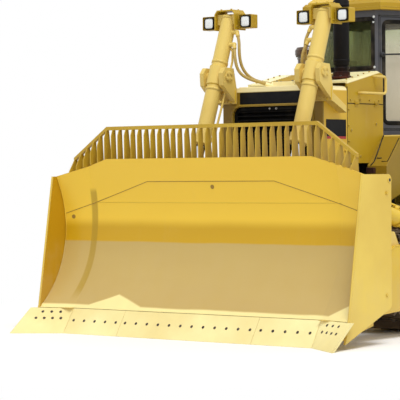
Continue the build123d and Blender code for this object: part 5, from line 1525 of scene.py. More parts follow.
# ---------------------------------------------------------------- blade
@dataclass
class BladeFittings:
    """Plate seams, plugs, welds and bolts of the blade."""

    seam: tuple[Pair, ...] = ((-2.31, 1.452), (-0.97, 1.84), (0.97, 1.84), (2.31, 1.452))
    plugs: tuple[Pair, ...] = ((0.04, 1.775), (-2.2, 1.41), (2.2, 1.41))
    edge_rows: tuple[tuple[float, float, int], ...] = (
        (-1.797, -1.106, 5),
        (-0.956, 0.943, 12),
        (1.097, 1.791, 5),
    )
    edge_height: float = 0.157
    edge_facing: Triple = (0.845, 0.0, 0.535)
    bit_rows: tuple[tuple[float, float, float, int], ...] = ((0.178, 1.98, 2.27, 4), (0.252, 2.02, 2.24, 3))
    eye: Triple = (2.597, 2.362, 1.844)
    ribs: tuple[float, ...] = (-2.1, -1.48, -1.11, -0.37, 0.0, 0.37, 1.11, 1.48, 2.1)
    ahead: float = 4.6

    def build(self) -> None:
        """Dress the blade from the face to its side plates."""
        self.seams()
        self.bolts()
        self.side_plates()
        self.back()

    def faced(self, surface: BVHTree, y: float, z: float) -> tuple[Vector, Vector]:
        """Where a surface is met from ahead of the blade, and its outward direction."""
        return met(surface, (self.ahead, y, z), -FRONT)

    def seams(self) -> None:
        """Thin seams of the face's plates and the welds at its sides."""
        face = surface_of("moldboard")
        seams = Welds("blade_seams", BLADE, Look.SEAM, 0.0045)
        for first, last in zip(self.seam, self.seam[1:]):
            count = max(2, int(math.dist(first, last) / 0.06)) + 1
            seams.along(*(self.faced(face, *p)[0] for p in spread(first, last, count)))
        seams.build()
        welds = Welds("blade_welds", BLADE, Look.BLADE, 0.009)
        for y in (2.322, -2.322):
            welds.along(*(self.faced(face, *p)[0] for p in spread((y, 0.32), (y, 1.88), 41)))
        welds.build()
        form = Form()
        for y, z in self.plugs:
            plug = [(-0.004, 0.026), (0.004, 0.026), (0.006, 0.022), (0.003, 0.016)]
            form.turned(plug, *self.faced(face, y, z), Look.SEAM)
        form.piece("blade_plugs", BLADE)

    def bolts(self) -> None:
        """Countersunk bolts of the cutting edges and end bits."""
        edge = surface_of("cutting_edges")
        bolts = Bolts("edge_bolts", BLADE, Look.DARK, 0.0135, 0.004, 14)
        for y0, y1, count in self.edge_rows:
            for place in spread((y0, self.edge_height), (y1, self.edge_height), count):
                bolts.at(self.faced(edge, *place)[0], self.edge_facing)
        for sign in BOTH:
            for z, y0, y1, count in self.bit_rows:
                for place in spread((sign * y0, z), (sign * y1, z), count):
                    bolts.at(*self.faced(edge, *place))
        bolts.build()

    def side_plates(self) -> None:
        """Lifting eyes and bolts on the outer faces."""
        form = Form(BOTH)
        ring = [(-0.002, 0.036), (0.004, 0.036), (0.007, 0.032), (0.007, 0.022), (0.003, 0.021)]
        form.turned(ring, self.eye, LEFT, Look.SIDE)
        form.turned([(0.001, 0.02), (0.004, 0.02)], self.eye, LEFT, Look.DARK)
        form.piece("side_plate_trim", BLADE)
        bolts = Bolts("side_plate_bolts", BLADE, head=0.017, signs=BOTH)
        bolts.row((2.66, self.eye[1], 0.56), (2.66, self.eye[1], 1.7), 2, LEFT)
        bolts.build()

    def back(self) -> None:
        """Welds of the ribs and beams behind the skin, and caps on the lugs' pins."""
        skin = surface_of("moldboard")
        welds = Welds("blade_back_welds", BLADE, radius=0.008)
        for rib in self.ribs:
            for y in (rib - 0.018, rib + 0.018):
                line = spread((2.3, y, 0.76), (2.3, y, 1.56), 17)
                welds.along(*(met(skin, p, FRONT)[0] for p in line))
        for z in (1.588, 1.872):
            welds.along((2.85, -2.3, z), (2.85, 2.3, z))
        welds.build()
        caps = Form(BOTH)
        bolts = Bolts("lug_pin_bolts", BLADE, Look.DARK, 0.012, signs=BOTH)
        cap = [(0, 0.085), (0.014, 0.085), (0.02, 0.0765)]
        for y, out in ((0.848, LEFT), (0.632, -LEFT)):
            bolted(caps, bolts, cap, (2.6, y, 1.0), out, Look.YELLOW, (0.02, 0.0527, 3, 90))
        caps.piece("lug_pin_caps", BLADE)
        bolts.build()


# ---------------------------------------------------------------- undercarriage
@dataclass
class TrackChains:
    """Both tracks: shoes, links and pins round the idlers and the sprocket."""

    wheels: tuple[Triple, ...] = ((0.9, 0.665, 0.46), (-2.0, 1.72, 0.52), (-2.985, 0.665, 0.46))
    track_y: float = 1.275
    count: int = 44

    def spans(self) -> list[tuple[str, tuple[float, ...], tuple[float, ...], float]]:
        """Round and straight spans of the pin line, anticlockwise from the front idler."""
        normals = []
        for (xa, za, ra), (xb, zb, rb) in zip(self.wheels, self.wheels[1:] + self.wheels[:1]):
            distance = math.hypot(xb - xa, zb - za)
            normals.append(math.atan2(zb - za, xb - xa) - math.acos((ra - rb) / distance))
        spans = []
        for i, (x, z, r) in enumerate(self.wheels):
            first, last = normals[i - 1], normals[i]
            sweep = (last - first) % math.tau
            spans.append(("arc", (x, z, r), (first, sweep), r * sweep))
            xn, zn, rn = self.wheels[(i + 1) % len(self.wheels)]
            start = (x + r * math.cos(last), z + r * math.sin(last))
            end = (xn + rn * math.cos(last), zn + rn * math.sin(last))
            spans.append(("line", start, end, math.dist(start, end)))
        return spans

    def pins(self) -> list[Vector]:
        """Places of the pins; the first lies half a pitch before the ground run's middle."""
        spans = self.spans()
        total = sum(span[3] for span in spans)
        pitch = total / self.count
        start = total - spans[-1][3] / 2 - pitch / 2
        places = []
        for i in range(self.count):
            way = (start + i * pitch) % total
            for kind, a, b, length in spans:
                if way <= length:
                    break
                way -= length
            if kind == "arc":
                angle = b[0] + way / a[2]
                x, z = a[0] + a[2] * math.cos(angle), a[1] + a[2] * math.sin(angle)
            else:
                x, z = (p + (q - p) * way / length for p, q in zip(a, b))
            places.append(Vector((x, 0, z)))
        return places

    def build(self) -> None:
        """Grow both chains from their links' places."""
        pins = self.pins()
        for side, sign in SIDES:
            places = []
            for a, b in zip(pins, pins[1:] + pins[:1]):
                run = (b - a).normalized()
                middle = (a + b) / 2 + Vector((0, sign * self.track_y, 0))
                places.append((middle, (run.z, 0, -run.x), run))
            name = "track_chain_" + side
            pitch = (pins[1] - pins[0]).length
            chain = grower(ShoeTree).grow(name, seed_points(places), Look.TRACK, Pitch=pitch)
            settle(chain, HULL, "track_steel", ("track_" + side,))


@dataclass
class RunningGear:
    """Caps, covers and bolts of the roller frames, sprockets and final drives."""

    track_y: float = 1.275
    cheek: float = 0.232
    roller_z: float = 0.4253
    rollers: tuple[float, ...] = tuple(0.4 - 0.41143 * i for i in range(8))
    idlers: tuple[Pair, ...] = ((0.9, 0.665), (-2.985, 0.665))
    drive: Pair = (-2.0, 1.72)

    def build(self) -> None:
        """Dress both sides."""
        caps, steel = Form(BOTH), Form(BOTH)
        bolts = Bolts("roller_frame_bolts", finish=Look.DARK, head=0.013, signs=BOTH)
        large = Bolts("drive_bolts", head=0.019, height=0.016, signs=BOTH)
        segment = Bolts("sprocket_bolts", finish=Look.DARK, head=0.017, slot="track_steel", signs=BOTH)
        welds = Welds("roller_frame_welds", radius=0.008, signs=BOTH)
        face = self.track_y + self.cheek
        cap = [(-0.002, 0.072), (0.01, 0.072), (0.016, 0.062), (0.03, 0.044), (0.032, 0.02)]
        for x in self.rollers:
            bolted(caps, bolts, cap, (x, face, self.roller_z), LEFT, Look.YELLOW, (0.011, 0.06, 4, 45))
        cap = [(-0.002, 0.1), (0.014, 0.1), (0.02, 0.09), (0.022, 0.06), (0.036, 0.05), (0.036, 0.02)]
        for x, z in self.idlers:
            bolted(caps, bolts, cap, (x, face, z), LEFT, Look.YELLOW, (0.014, 0.08, 6, 0))
        self.covers(caps, bolts, welds, face)
        self.drive_end(caps, large, segment)
        self.guides(steel)
        caps.piece("roller_frame_caps")
        steel.piece("track_guides", HULL, "track_steel")
        for group in (bolts, large, segment, welds):
            group.build()

    @staticmethod
    def covers(form: Form, bolts: Bolts, welds: Welds, face: float) -> None:
        """Bolted covers and beads on a roller frame's outer cheek.

        Args:
            form: Where the covers are added.
            bolts: Where their bolts are added.
            welds: Where the beads are added.
            face: The cheek's y.
        """
        for x0, x1 in ((-2.3, -1.55), (-1.45, -0.85), (-0.3, 0.3)):
            outline = rounded((x1 - x0) / 2, 0.09, 0.03, centre=((x0 + x1) / 2, 0.69))
            form.prism(outline, face - 0.002, face + 0.009, Look.YELLOW, 0.002)
            for x in (x0 + 0.035, x1 - 0.035):
                bolts.row((x, face + 0.009, 0.63), (x, face + 0.009, 0.75), 2, LEFT)
        for z in (0.57, 0.832):
            welds.along((-2.3, face, z), (0.25, face, z))

    def drive_end(self, form: Form, large: Bolts, segment: Bolts) -> None:
        """Covers and rings of bolts round a final drive.

        Args:
            form: Where the covers are added.
            large: Bolts of the drive.
            segment: Bolts of the sprocket's segments.
        """
        x, z = self.drive
        end = self.track_y + 0.33
        cover = [(-0.004, 0.19), (0.014, 0.19), (0.02, 0.18), (0.02, 0.1), (0.034, 0.09), (0.034, 0.03)]
        bolted(form, large, cover, (x, end, z), LEFT, Look.YELLOW, (0.018, 0.15, 12, 15), 32)
        large.ring((x, self.track_y + 0.176, z), LEFT, 0.323, 24)
        plug = [(0, 0.024), (0.02, 0.024), (0.024, 0.018)]
        form.turned(plug, (x + 0.06, end + 0.03, z - 0.05), LEFT, Look.DARK, 8)
        for way in (1, -1):
            segment.ring((x, self.track_y + way * 0.058, z), LEFT * way, 0.405, 25, 7.2)

    def guides(self, form: Form) -> None:
        """Track guides beside the rollers and the recoil cylinder's front."""
        for x0, x1 in ((0.28, 0.55), (-1.2, -0.85), (-2.6, -2.3)):
            outline = [(x0, 0.5), (x0 + 0.03, 0.33), (x1 - 0.03, 0.33), (x1, 0.5)]
            for way in (1, -1):
                y = self.track_y + way * 0.208
                form.prism(outline, y, y + way * 0.028, Look.TRACK)
        recoil = [(0, 0.1), (0.05, 0.1), (0.06, 0.07), (0.28, 0.07)]
        form.turned(recoil, (0.48, self.track_y, 0.74), (1, 0, -0.15), Look.TRACK)


# ---------------------------------------------------------------- guard and hood
@dataclass
class Nose:
    """Label places, bolts, covers and grille dressing of the radiator guard."""

    front: float = 1.67
    half: float = 0.77
    label: tuple[float, float, float, float] = (-0.5, 0.54, 2.777, 2.926)
    side_label: tuple[float, float, float, float] = (1.2, 1.61, 2.34, 2.575)
    stripe: float = 0.03

    def build(self) -> None:
        """Dress the guard."""
        self.labels()
        self.bolts()
        self.frame()
        self.grille()

    def labels(self) -> None:
        """Blank label plates on the front and on the sides, these with a stripe below."""
        form = Form()
        y0, y1, z0, z1 = self.label
        outline = rounded((y1 - y0) / 2, (z1 - z0) / 2, 0.012, centre=((y0 + y1) / 2, (z0 + z1) / 2))
        form.plate(outline, self.front - 0.002, self.front + 0.004, Look.LABEL, 0.001)
        x0, x1, low, high = self.side_label
        border = low + self.stripe
        with mirrored(form):
            for bottom, top, finish in ((border, high, Look.LABEL), (low, border, Look.RED)):
                outline = [(x0, bottom), (x1, bottom), (x1, top), (x0, top)]
                form.prism(outline, self.half - 0.002, self.half + 0.003, finish, 0.0)
        form.piece("blank_labels", HULL, "grille_black")

    def bolts(self) -> None:
        """Bolts of the guard's front, sides and grille."""
        bolts = Bolts("guard_bolts", finish=Look.GUARD, head=0.016, signs=BOTH)
        bolts.row((self.front, 0.69, 1.1), (self.front, 0.69, 2.3), 7, FRONT)
        bolts.row((self.front, 0.1, 1.1), (self.front, 0.5, 1.1), 3, FRONT)
        for x in (1.22, 1.6):
            bolts.row((x, self.half, 1.2), (x, self.half, 2.2), 5, LEFT)
        bolts.build()
        bright = Bolts("grille_bolts", finish=Look.BRIGHT, head=0.011, slot="grille_black", signs=BOTH)
        x = self.front - 0.021
        bright.at((x, 0.05, 2.722), FRONT)
        bright.row((x, 0.588, 1.4), (x, 0.588, 2.5), 4, FRONT)
        bright.build()

    def frame(self) -> None:
        """Raised lip round the grille's window, top rail, tow eyes and side covers."""
        form = Form()
        loops = []
        lip = ((0.03, -0.003), (0.03, 0.01), (0.022, 0.014), (0.004, 0.014), (0.0, 0.01), (0.0, -0.003))
        for grow, x in lip:
            outline = rounded(0.61 + grow, 0.75 + grow, 0.11 + grow, 6, (0.0, 2.0))
            loops.append([(self.front + x, y, z) for y, z in outline])
        form.loft(loops, Look.GUARD, closed=True)
        form.block((self.front - 0.06, -0.52, 2.972), (self.front - 0.008, 0.52, 2.996), Look.GUARD, 0.005)
        eye = [(1.66, 1.02), (1.66, 1.14), (1.74, 1.14), (1.79, 1.11), (1.79, 1.05), (1.74, 1.02)]
        cover = rounded(0.15, 0.32, 0.04, centre=(1.41, 1.72))
        with mirrored(form):
            form.prism(eye, 0.398, 0.442, Look.GUARD, 0.006)
            form.prism(cover, self.half - 0.003, self.half + 0.01, Look.GUARD, 0.003)
            for z in (1.52, 1.92):
                form.block((1.25, self.half, z - 0.03), (1.275, self.half + 0.024, z + 0.03), Look.DARK)
        form.piece("guard_trim")

    def grille(self) -> None:
        """Fine upright wires behind the grille's slats."""
        x = self.front - 0.066
        wires = [(p, FRONT, LEFT) for p in spread((x, -0.56, 2.0), (x, 0.56, 2.0), 45)]
        slats("grille_wires", wires, Look.GRILLE, "grille_black", 1.46, 0.006, 0.004)


@dataclass
class Engine:
    """Seams, latches, louvres and pipes of the engine's covers."""

    half: float = 0.77
    seam_z: float = 2.775
    joint_x: float = 1.17
    crest: Pair = (0.53, 3.19)
    front_z: float = 3.05

    def top_z(self, x: float) -> float:
        """Height of the hood's top between the guard and its crest."""
        crest_x, crest_z = self.crest
        return self.front_z + (crest_z - self.front_z) * (self.joint_x - x) / (self.joint_x - crest_x)

    def build(self) -> None:
        """Dress the hood, the side panels, the precleaner and the exhaust."""
        self.seams()
        self.panels()
        self.louvres()
        self.manifold()
        self.precleaner()
        self.exhaust()

    def seams(self) -> None:
        """Dark rubber in the joints between the covers."""
        form = Form(BOTH)
        x, z = self.joint_x, self.seam_z
        for x0, z0, x1, z1 in (
            (0.41, z - 0.005, 1.165, z + 0.005),
            (x - 0.005, z, x + 0.004, 2.98),
            (x - 0.003, 2.05, x + 0.003, z),
        ):
            form.block((x0, self.half - 0.006, z0), (x1, self.half + 0.0025, z1), Look.RUBBER, 0.0)
        form.piece("hood_seals", HULL, "grille_black")

    def panels(self) -> None:
        """Latches, hinges and bolts of the side panels and the hood."""
        form = Form(BOTH)
        bolts = Bolts("hood_bolts", finish=Look.SHADED_YELLOW, head=0.01, signs=BOTH)
        face = self.half
        latch = [(-0.001, 0.02), (0.004, 0.02), (0.006, 0.016)]
        for x, z in ((1.09, 2.45), (0.9, 2.13), (0.56, 2.53)):
            form.turned(latch, (x, face, z), LEFT, Look.SHADED_YELLOW, 20)
            form.block((x - 0.003, face, z - 0.012), (x + 0.003, face + 0.009, z + 0.012), Look.DARK, 0.001)
        for x in (0.56, 0.98):
            knuckle = [(-0.035, 0.011), (0.035, 0.011)]
            form.turned(knuckle, (x, face + 0.012, self.seam_z), FRONT, Look.SHADED_YELLOW, 12)
            for z in (self.seam_z - 0.035, self.seam_z + 0.012):
                form.block((x - 0.034, face, z), (x + 0.034, face + 0.006, z + 0.026), Look.SHADED_YELLOW, 0.002)
        bolts.row((0.5, face, 2.82), (1.1, face, 2.82), 4, LEFT)
        bolts.row((1.14, face, 2.12), (1.14, face, 2.7), 4, LEFT)
        for x in (0.6 + 0.12 * i for i in range(5)):
            bolts.at((x, 0.7, self.top_z(x)), (0.21, 0, 0.98))
        form.piece("hood_fittings")
        bolts.build()

    def louvres(self) -> None:
        """Cooling slats on the hood's top."""
        places = [
            ((x, y, self.top_z(x) + 0.006), (0.62, 0, 0.78), (-0.78, 0, 0.62))
            for y in (-0.32, 0.12)
            for x in (0.68 + 0.05 * i for i in range(9))
        ]
        slats("hood_louvres", places, Look.SHADED_YELLOW, YELLOW_SLOT, 0.3, 0.03, 0.004)

    @staticmethod
    def manifold() -> None:
        """Bolts and steel pipes between the guard's manifold and the hull."""
        form = Form(BOTH)
        bent = [(1.31, 0.1, 3.035), (1.25, 0.12, 3.045), (1.21, 0.2, 3.04)]
        form.tube(bent + [(1.2, 0.42, 3.02), (1.2, 0.52, 2.98)], 0.017, Look.GUARD, 12)
        form.turned([(0, 0.03), (0.03, 0.03)], (1.195, 0.4, 3.02), (0, 1, -0.1), Look.GUARD, 14)
        form.piece("manifold_pipes")
        bolts = Bolts("manifold_bolts", finish=Look.DARK, head=0.012, signs=BOTH)
        bolts.row((1.33, 0.12, 3.06), (1.41, 0.12, 3.06), 2, UP)
        bolts.build()

    def precleaner(self) -> None:
        """Neck, bands and vanes of the air precleaner."""
        form = Form()
        base = Vector((0.56, -0.28, self.top_z(0.56) - 0.03))
        form.turned([(0.0, 0.1), (0.058, 0.1), (0.064, 0.094)], base, UP, Look.YELLOW, 32)
        for low in (0.086, 0.222):
            band = [(low, 0.126), (low, 0.133), (low + 0.018, 0.133), (low + 0.018, 0.126)]
            form.turned(band, base, UP, Look.CAP_GREY, 40)
        low, high = base + Vector((0.12, -0.02, 0.09)), base + Vector((0.146, 0.02, 0.102))
        form.block(low, high, Look.BRIGHT, 0.002)
        form.turned([(0.386, 0.03), (0.398, 0.03), (0.402, 0.02)], base, UP, Look.CAP_GREY, 6, False)
        form.piece("precleaner_bands", HULL, "exhaust_dark")
        around = arc((0, 0), 0.136, 0, 360, 36)[:-1]
        vanes = [(base + Vector((a, b, 0.262)), (b, -a, 0), (a, b, 0)) for a, b in around]
        slats("precleaner_vanes", vanes, Look.CAP_GREY, "exhaust_dark", 0.022, 0.03, 0.003)

    def exhaust(self) -> None:
        """Jacket, clamps and foot flange of the exhaust stack."""
        form = Form()
        base = Vector((0.95, 0.53, self.top_z(0.95) - 0.03))
        form.turned([(0.17, 0.08), (0.19, 0.098), (0.98, 0.098), (1.0, 0.08)], base, UP, Look.EXHAUST, 48)
        for low, radius in ((0.135, 0.09), (0.23, 0.102), (0.91, 0.102)):
            ring = [(low, 0.08), (low, radius), (low + 0.026, radius), (low + 0.026, 0.08)]
            form.turned(ring, base, UP, Look.EXHAUST, 36)
        form.turned([(0.02, 0.135), (0.04, 0.135), (0.046, 0.128)], base, UP, Look.EXHAUST, 36)
        low, high = base + Vector((-0.01, 0.084, 0.138)), base + Vector((0.01, 0.12, 0.162))
        form.block(low, high, Look.DARK, 0.002)
        form.piece("exhaust_clamps", HULL, "exhaust_dark")
        bolts = Bolts("exhaust_bolts", finish=Look.DARK, head=0.011, slot="exhaust_dark")
        bolts.ring(base + UP * 0.046, UP, 0.118, 6, 30)
        bolts.build()


# ---------------------------------------------------------------- lift and tilt gear
@dataclass
class LiftGear:
    """Rings, pipes, lamp brackets and lamps of the lift cylinders."""

    trunnion: Triple = (1.83, 0.74, 3.13)
    eye: Triple = (2.6, 0.74, 1.0)
    radius: float = 0.098
    lamp_out: float = 0.29
    lamp_half: Pair = (0.1, 0.085)
    lamp_x: Pair = (1.5, 1.625)
    lamp_z: float = 3.815
    bracket_top: float = 3.968

    @property
    def way(self) -> Vector:
        """Direction from the trunnion to the eye."""
        return (Vector(self.eye) - Vector(self.trunnion)).normalized()

    def place(self, along: float, ahead: float = 0.0, aside: float = 0.0) -> Vector:
        """A place by its distance along the left cylinder, before its axis and towards the middle."""
        before = Vector((-self.way.z, 0, self.way.x))
        return Vector(self.trunnion) + self.way * along + before * ahead - LEFT * aside

    def build(self) -> None:
        """Dress both cylinders."""
        for side, sign in SIDES:
            for dress in (self.barrel, self.bracket, self.lamps):
                dress(side, (sign,), "lift_barrel_" + side)
        self.yokes()

    def barrel(self, side: str, signs: tuple[int, ...], body: str) -> None:
        """Rings, gland, steel pipe and clamps of a barrel.

        Args:
            side: "left" or "right".
            signs: The side's sign alone.
            body: The barrel's body.
        """
        form = Form(signs)
        foot, r = self.place(0), self.radius
        rings = [
            [(low, r - 0.01), (low, r + 0.006), (low + wide, r + 0.006), (low + wide, r - 0.01)]
            for low, wide in ((-0.79, 0.03), (-0.2, 0.035), (0.16, 0.035))
        ]
        rings.append([(0.875, 0.07), (0.875, r + 0.016), (0.903, r + 0.016), (0.91, r + 0.004), (0.91, 0.07)])
        for ring in rings:
            form.turned(ring, foot, self.way, Look.PALE, 36, closed=True)
        wiper = [(0.895, 0.059), (0.895, 0.075), (0.915, 0.073), (0.917, 0.059)]
        form.turned(wiper, foot, self.way, Look.RUBBER, 30, closed=True)
        pipe = (
            (-0.40, -0.02, 0.1), (-0.34, -0.03, 0.14), (-0.22, -0.06, 0.145), (0.1, -0.075, 0.13),
            (0.6, -0.075, 0.115), (0.8, -0.07, 0.115), (0.84, -0.05, 0.1), (0.85, -0.03, 0.07),
        )
        form.tube([self.place(*p) for p in pipe], 0.014, Look.PALE, 12)
        for along in (-0.1, 0.3, 0.7):
            form.tube([self.place(a, -0.07, 0.08) for a in (along, along + 0.035)], 0.03, Look.PALE, 8)
        for low in (-0.8, -0.77):
            form.turned([(low - 0.006, 0.088), (low - 0.001, 0.096)], foot, self.way, Look.RUST, 36)
        form.piece("lift_barrel_trim_" + side, body)
        bolts = Bolts("gland_bolts_" + side, body, Look.PALE, 0.011, signs=signs)
        bolts.ring(self.place(0.909), self.way, 0.088, 10)
        bolts.ring(self.place(-0.8), -self.way, 0.066, 6)
        bolts.build()
        welds = Welds("lift_barrel_welds_" + side, body, radius=0.006, signs=signs)
        for along in (-0.122, 0.122):
            welds.round(self.place(along), self.way, r + 0.002)
        welds.build()

    def bracket(self, side: str, signs: tuple[int, ...], body: str) -> None:
        """Folded plate over the barrel's head with the arms that carry the lamps.

        Args:
            side: "left" or "right".
            signs: The side's sign alone.
            body: The barrel's body.
        """
        form = Form(signs)
        y, top = self.trunnion[1], self.bracket_top
        outer = [(0.165, 3.715), (0.165, top - 0.05), (0.125, top)]
        inner = [(0.148, 3.715), (0.148, top - 0.058), (0.118, top - 0.018)]
        shape = [(-a, z) for a, z in outer] + outer[::-1] + inner + [(-a, z) for a, z in inner[::-1]]
        form.plate([(y + a, z) for a, z in shape], 1.452, 1.668, Look.SHADED_YELLOW, 0.003)
        bolts = Bolts("lamp_bracket_bolts_" + side, body, Look.SHADED_YELLOW, 0.012, signs=signs)
        for way in (-1, 1):
            near, far = y + way * 0.15, y + way * (self.lamp_out - self.lamp_half[0] + 0.01)
            form.block((1.5, near, 3.78), (1.512, far, 3.86), Look.SHADED_YELLOW, 0.002)
            form.block((1.5, near, 3.852), (1.6, far, 3.864), Look.SHADED_YELLOW, 0.002)
            for x in (1.49, 1.63):
                bolts.at((x, y + way * 0.165, 3.76), LEFT * way)
                bolts.at((x, y + way * 0.08, top), UP)
        form.piece("lamp_bracket_" + side, body)
        bolts.build()

    def lamps(self, side: str, signs: tuple[int, ...], body: str) -> None:
        """Two square work lamps: open housing, gasket, bezel and ribbed lens.

        Args:
            side: "left" or "right".
            signs: The side's sign alone.
            body: The barrel's body.
        """
        form = Form(signs)
        half_y, half_z = self.lamp_half
        (x0, x1), z = self.lamp_x, self.lamp_z
        rings = (
            (x0 - 0.012, 0.9, 0.02), (x0, 1.0, 0.012), (x1, 1.0, 0.012),
            (x1, 0.955, 0.01), (x1 - 0.03, 0.95, 0.01),
        )
        domes = ((-0.016, 1.02), (-0.008, 1.0), (-0.001, 0.93), (0.003, 0.7), (0.005, 0.35))
        for way in (-1, 1):
            y = self.trunnion[1] + way * self.lamp_out
            loops = []
            for x, share, corner in rings:
                outline = rounded(half_y * share, half_z * share, corner, 3, (y, z))
                loops.append([(x, a, b) for a, b in outline])
            form.loft(loops, Look.SHADED_YELLOW)
            span = (y - 0.068, y + 0.068, z - 0.065, z + 0.065)
            gasket(form, lambda s, h, t: (x1 - 0.03 + t, s, h), span, 0.03, 0.016, 0.034, Look.RUBBER)
            loops = []
            for x, share in domes:
                outline = rounded(0.067 * share, 0.064 * share, 0.03 * share, 4, (y, z))
                loops.append([(x1 + x, a, b) for a, b in outline])
            form.loft(loops, Look.LENS, smooth=True)
            back = [(0, 0.055), (0.012, 0.055), (0.035, 0.035), (0.045, 0.018)]
            form.turned(back, (x0 - 0.008, y, z), -FRONT, Look.PLASTIC, 20)
            wire = [
                (x0 - 0.045, y, z), (x0 - 0.075, y, z - 0.02), (x0 - 0.07, y - way * 0.06, z - 0.06),
                (1.46, self.trunnion[1] + way * 0.155, 3.76),
            ]
            form.tube(wire, 0.006, Look.RUBBER, 8)
        form.piece("work_lamps_" + side, body, CAB_SLOT, ("lamps_" + side,))

    def yokes(self) -> None:
        """Caps, bolts and welds of the yokes that carry the trunnions."""
        form = Form(BOTH)
        bolts = Bolts("yoke_bolts", finish=Look.PALE, head=0.017, signs=BOTH)
        welds = Welds("yoke_welds", radius=0.009, signs=BOTH)
        x, y, z = self.trunnion
        cap = [(-0.002, 0.066), (0.01, 0.066), (0.015, 0.06), (0.015, 0.02)]
        for face, out in ((y + 0.18, LEFT), (y - 0.19, -LEFT)):
            bolted(form, bolts, cap, (x, face, z), out, Look.PALE, (0.013, 0.045, 4, 45), 32)
        for edge in (y - 0.19, y - 0.12, y + 0.12, y + 0.18):
            welds.along((1.702, edge, 2.8), (1.702, edge, 2.96))
        bolts.row((1.7, y - 0.06, 2.83), (1.7, y + 0.06, 2.83), 3, FRONT)
        welds.along((1.345, 0.775, 2.74), (1.66, 0.775, 2.93))
        form.piece("trunnion_caps")
        bolts.build()
        welds.build()


@dataclass
class TiltGear:
    """Trim of the tilt cylinders, the push arms and the lift rods' eyes."""

    base: Triple = (1.3, 1.85, 1.3)
    eye: Triple = (2.62, 1.85, 1.62)
    arm: Pair = (1.745, 1.955)

    def build(self) -> None:
        """Dress both sides."""
        for side, sign in SIDES:
            self.barrel(side, (sign,))
            self.rods(side, (sign,))
        self.arms()

    def barrel(self, side: str, signs: tuple[int, ...]) -> None:
        """Rings, wiper, pipe and clamps of a tilt cylinder.

        Args:
            side: "left" or "right".
            signs: The side's sign alone.
        """
        form = Form(signs)
        base = Vector(self.base)
        way = (Vector(self.eye) - base).normalized()
        over = Vector((-way.z, 0, way.x))
        rings = ((0.13, 0.16, 0.105), (0.4, 0.45, 0.109), (0.72, 0.75, 0.103), (0.985, 1.005, 0.111))
        for low, high, r in rings:
            ring = [(low, 0.088), (low, r), (high, r), (high, 0.088)]
            form.turned(ring, base, way, Look.YELLOW, 32, closed=True)
        wiper = [(0.99, 0.054), (0.99, 0.07), (1.01, 0.068), (1.012, 0.054)]
        form.turned(wiper, base, way, Look.RUBBER, 28, closed=True)
        pipe = ((0.2, 0.09), (0.22, 0.13), (0.3, 0.135), (0.8, 0.135), (0.9, 0.13), (0.93, 0.1))
        form.tube([base + way * a + over * b for a, b in pipe], 0.012, Look.YELLOW, 10)
        for along in (0.45, 0.7):
            form.tube([base + way * a + over * 0.1 for a in (along, along + 0.03)], 0.045, Look.YELLOW, 8)
        form.piece("tilt_barrel_trim_" + side, "tilt_barrel_" + side)

    def rods(self, side: str, signs: tuple[int, ...]) -> None:
        """Collars and grease fittings on the rods' eyes.

        Args:
            side: "left" or "right".
            signs: The side's sign alone.
        """
        lift = LiftGear()
        ends = (("lift", lift.trunnion, lift.eye, 0.1), ("tilt", self.base, self.eye, 0.08))
        for name, start, end, r in ends:
            form = Form(signs)
            way = (Vector(end) - Vector(start)).normalized()
            collar = [(-r - 0.1, 0.058), (-r - 0.09, 0.07), (-r - 0.01, 0.082), (-r + 0.02, 0.08)]
            form.turned(collar, end, way, Look.YELLOW, 28)
            nipple = [(0, 0.011), (0.014, 0.011), (0.02, 0.006), (0.026, 0.005)]
            form.turned(nipple, Vector(end) + UP * (r - 0.003), UP, Look.BRIGHT, 10)
            form.piece(f"{name}_rod_collar_{side}", f"{name}_rod_{side}")

    def arms(self) -> None:
        """Pin caps, beads, steps and the tilt hoses' guard on the push arms."""
        form = Form(BOTH)
        bolts = Bolts("arm_bolts", ARMS, Look.DARK, 0.014, signs=BOTH)
        welds = Welds("arm_welds", ARMS, radius=0.008, signs=BOTH)
        inner, outer = self.arm
        cap = [(-0.03, 0.2), (0.016, 0.2), (0.024, 0.19), (0.024, 0.06)]
        bolted(form, bolts, cap, (-0.6, outer, 0.72), LEFT, Look.YELLOW, (0.022, 0.16, 8, 22.5), 36)
        cap = [(-0.002, 0.09), (0.012, 0.09), (0.018, 0.08)]
        bolted(form, bolts, cap, (2.72, outer + 0.048, 0.42), LEFT, Look.YELLOW, (0.016, 0.055, 3, 90), 28)
        for y in self.arm:
            welds.along((-0.66, y, 0.955), (1.15, y, 1.076), (1.9, y, 1.076), (2.44, y, 0.763))
            welds.along((-0.66, y, 0.505), (0.6, y, 0.404), (2.3, y, 0.294))
        cover = rounded(0.34, 0.17, 0.05, centre=(0.2, 0.73))
        form.prism(cover, outer - 0.002, outer + 0.012, Look.YELLOW, 0.003)
        for z in (0.86, 0.6):
            bolts.row((-0.08, outer + 0.012, z), (0.48, outer + 0.012, z), 4, LEFT)
        for x in (0.75, 0.95):
            z = 1.04 + (x - 0.6) * 0.06
            form.block((x, inner + 0.02, z), (x + 0.12, outer - 0.02, z + 0.022), Look.DARK, 0.003)
        bracket = [(1.72, 1.06), (2.12, 1.0), (2.1, 1.2), (2.02, 1.26), (1.82, 1.24)]
        form.prism(bracket, 1.8, 1.9, Look.PALE, 0.008)
        pin = [(-0.002, 0.062), (0.01, 0.062), (0.016, 0.055)]
        form.turned(pin, Vector(self.base) + LEFT * 0.11, LEFT, Look.PIN, 24)
        self.hose_guard(form)
        form.piece("push_arm_trim", ARMS)
        bolts.build()
        welds.build()

    def hose_guard(self, form: Form) -> None:
        """Pipe and clips along an arm's top to the tilt cylinder's base."""
        y = self.arm[0] + 0.045
        pipe = [(-0.3, y, 1.0), (0.2, y, 1.035), (0.9, y, 1.085), (1.15, y, 1.1), (1.22, y, 1.13)]
        form.tube(pipe, 0.013, Look.YELLOW, 10)
        for x in (0.0, 0.5, 0.95):
            z = 1.0 + (x + 0.3) * 0.0675
            form.block((x, y - 0.022, z - 0.03), (x + 0.03, y + 0.022, z + 0.017), Look.YELLOW)


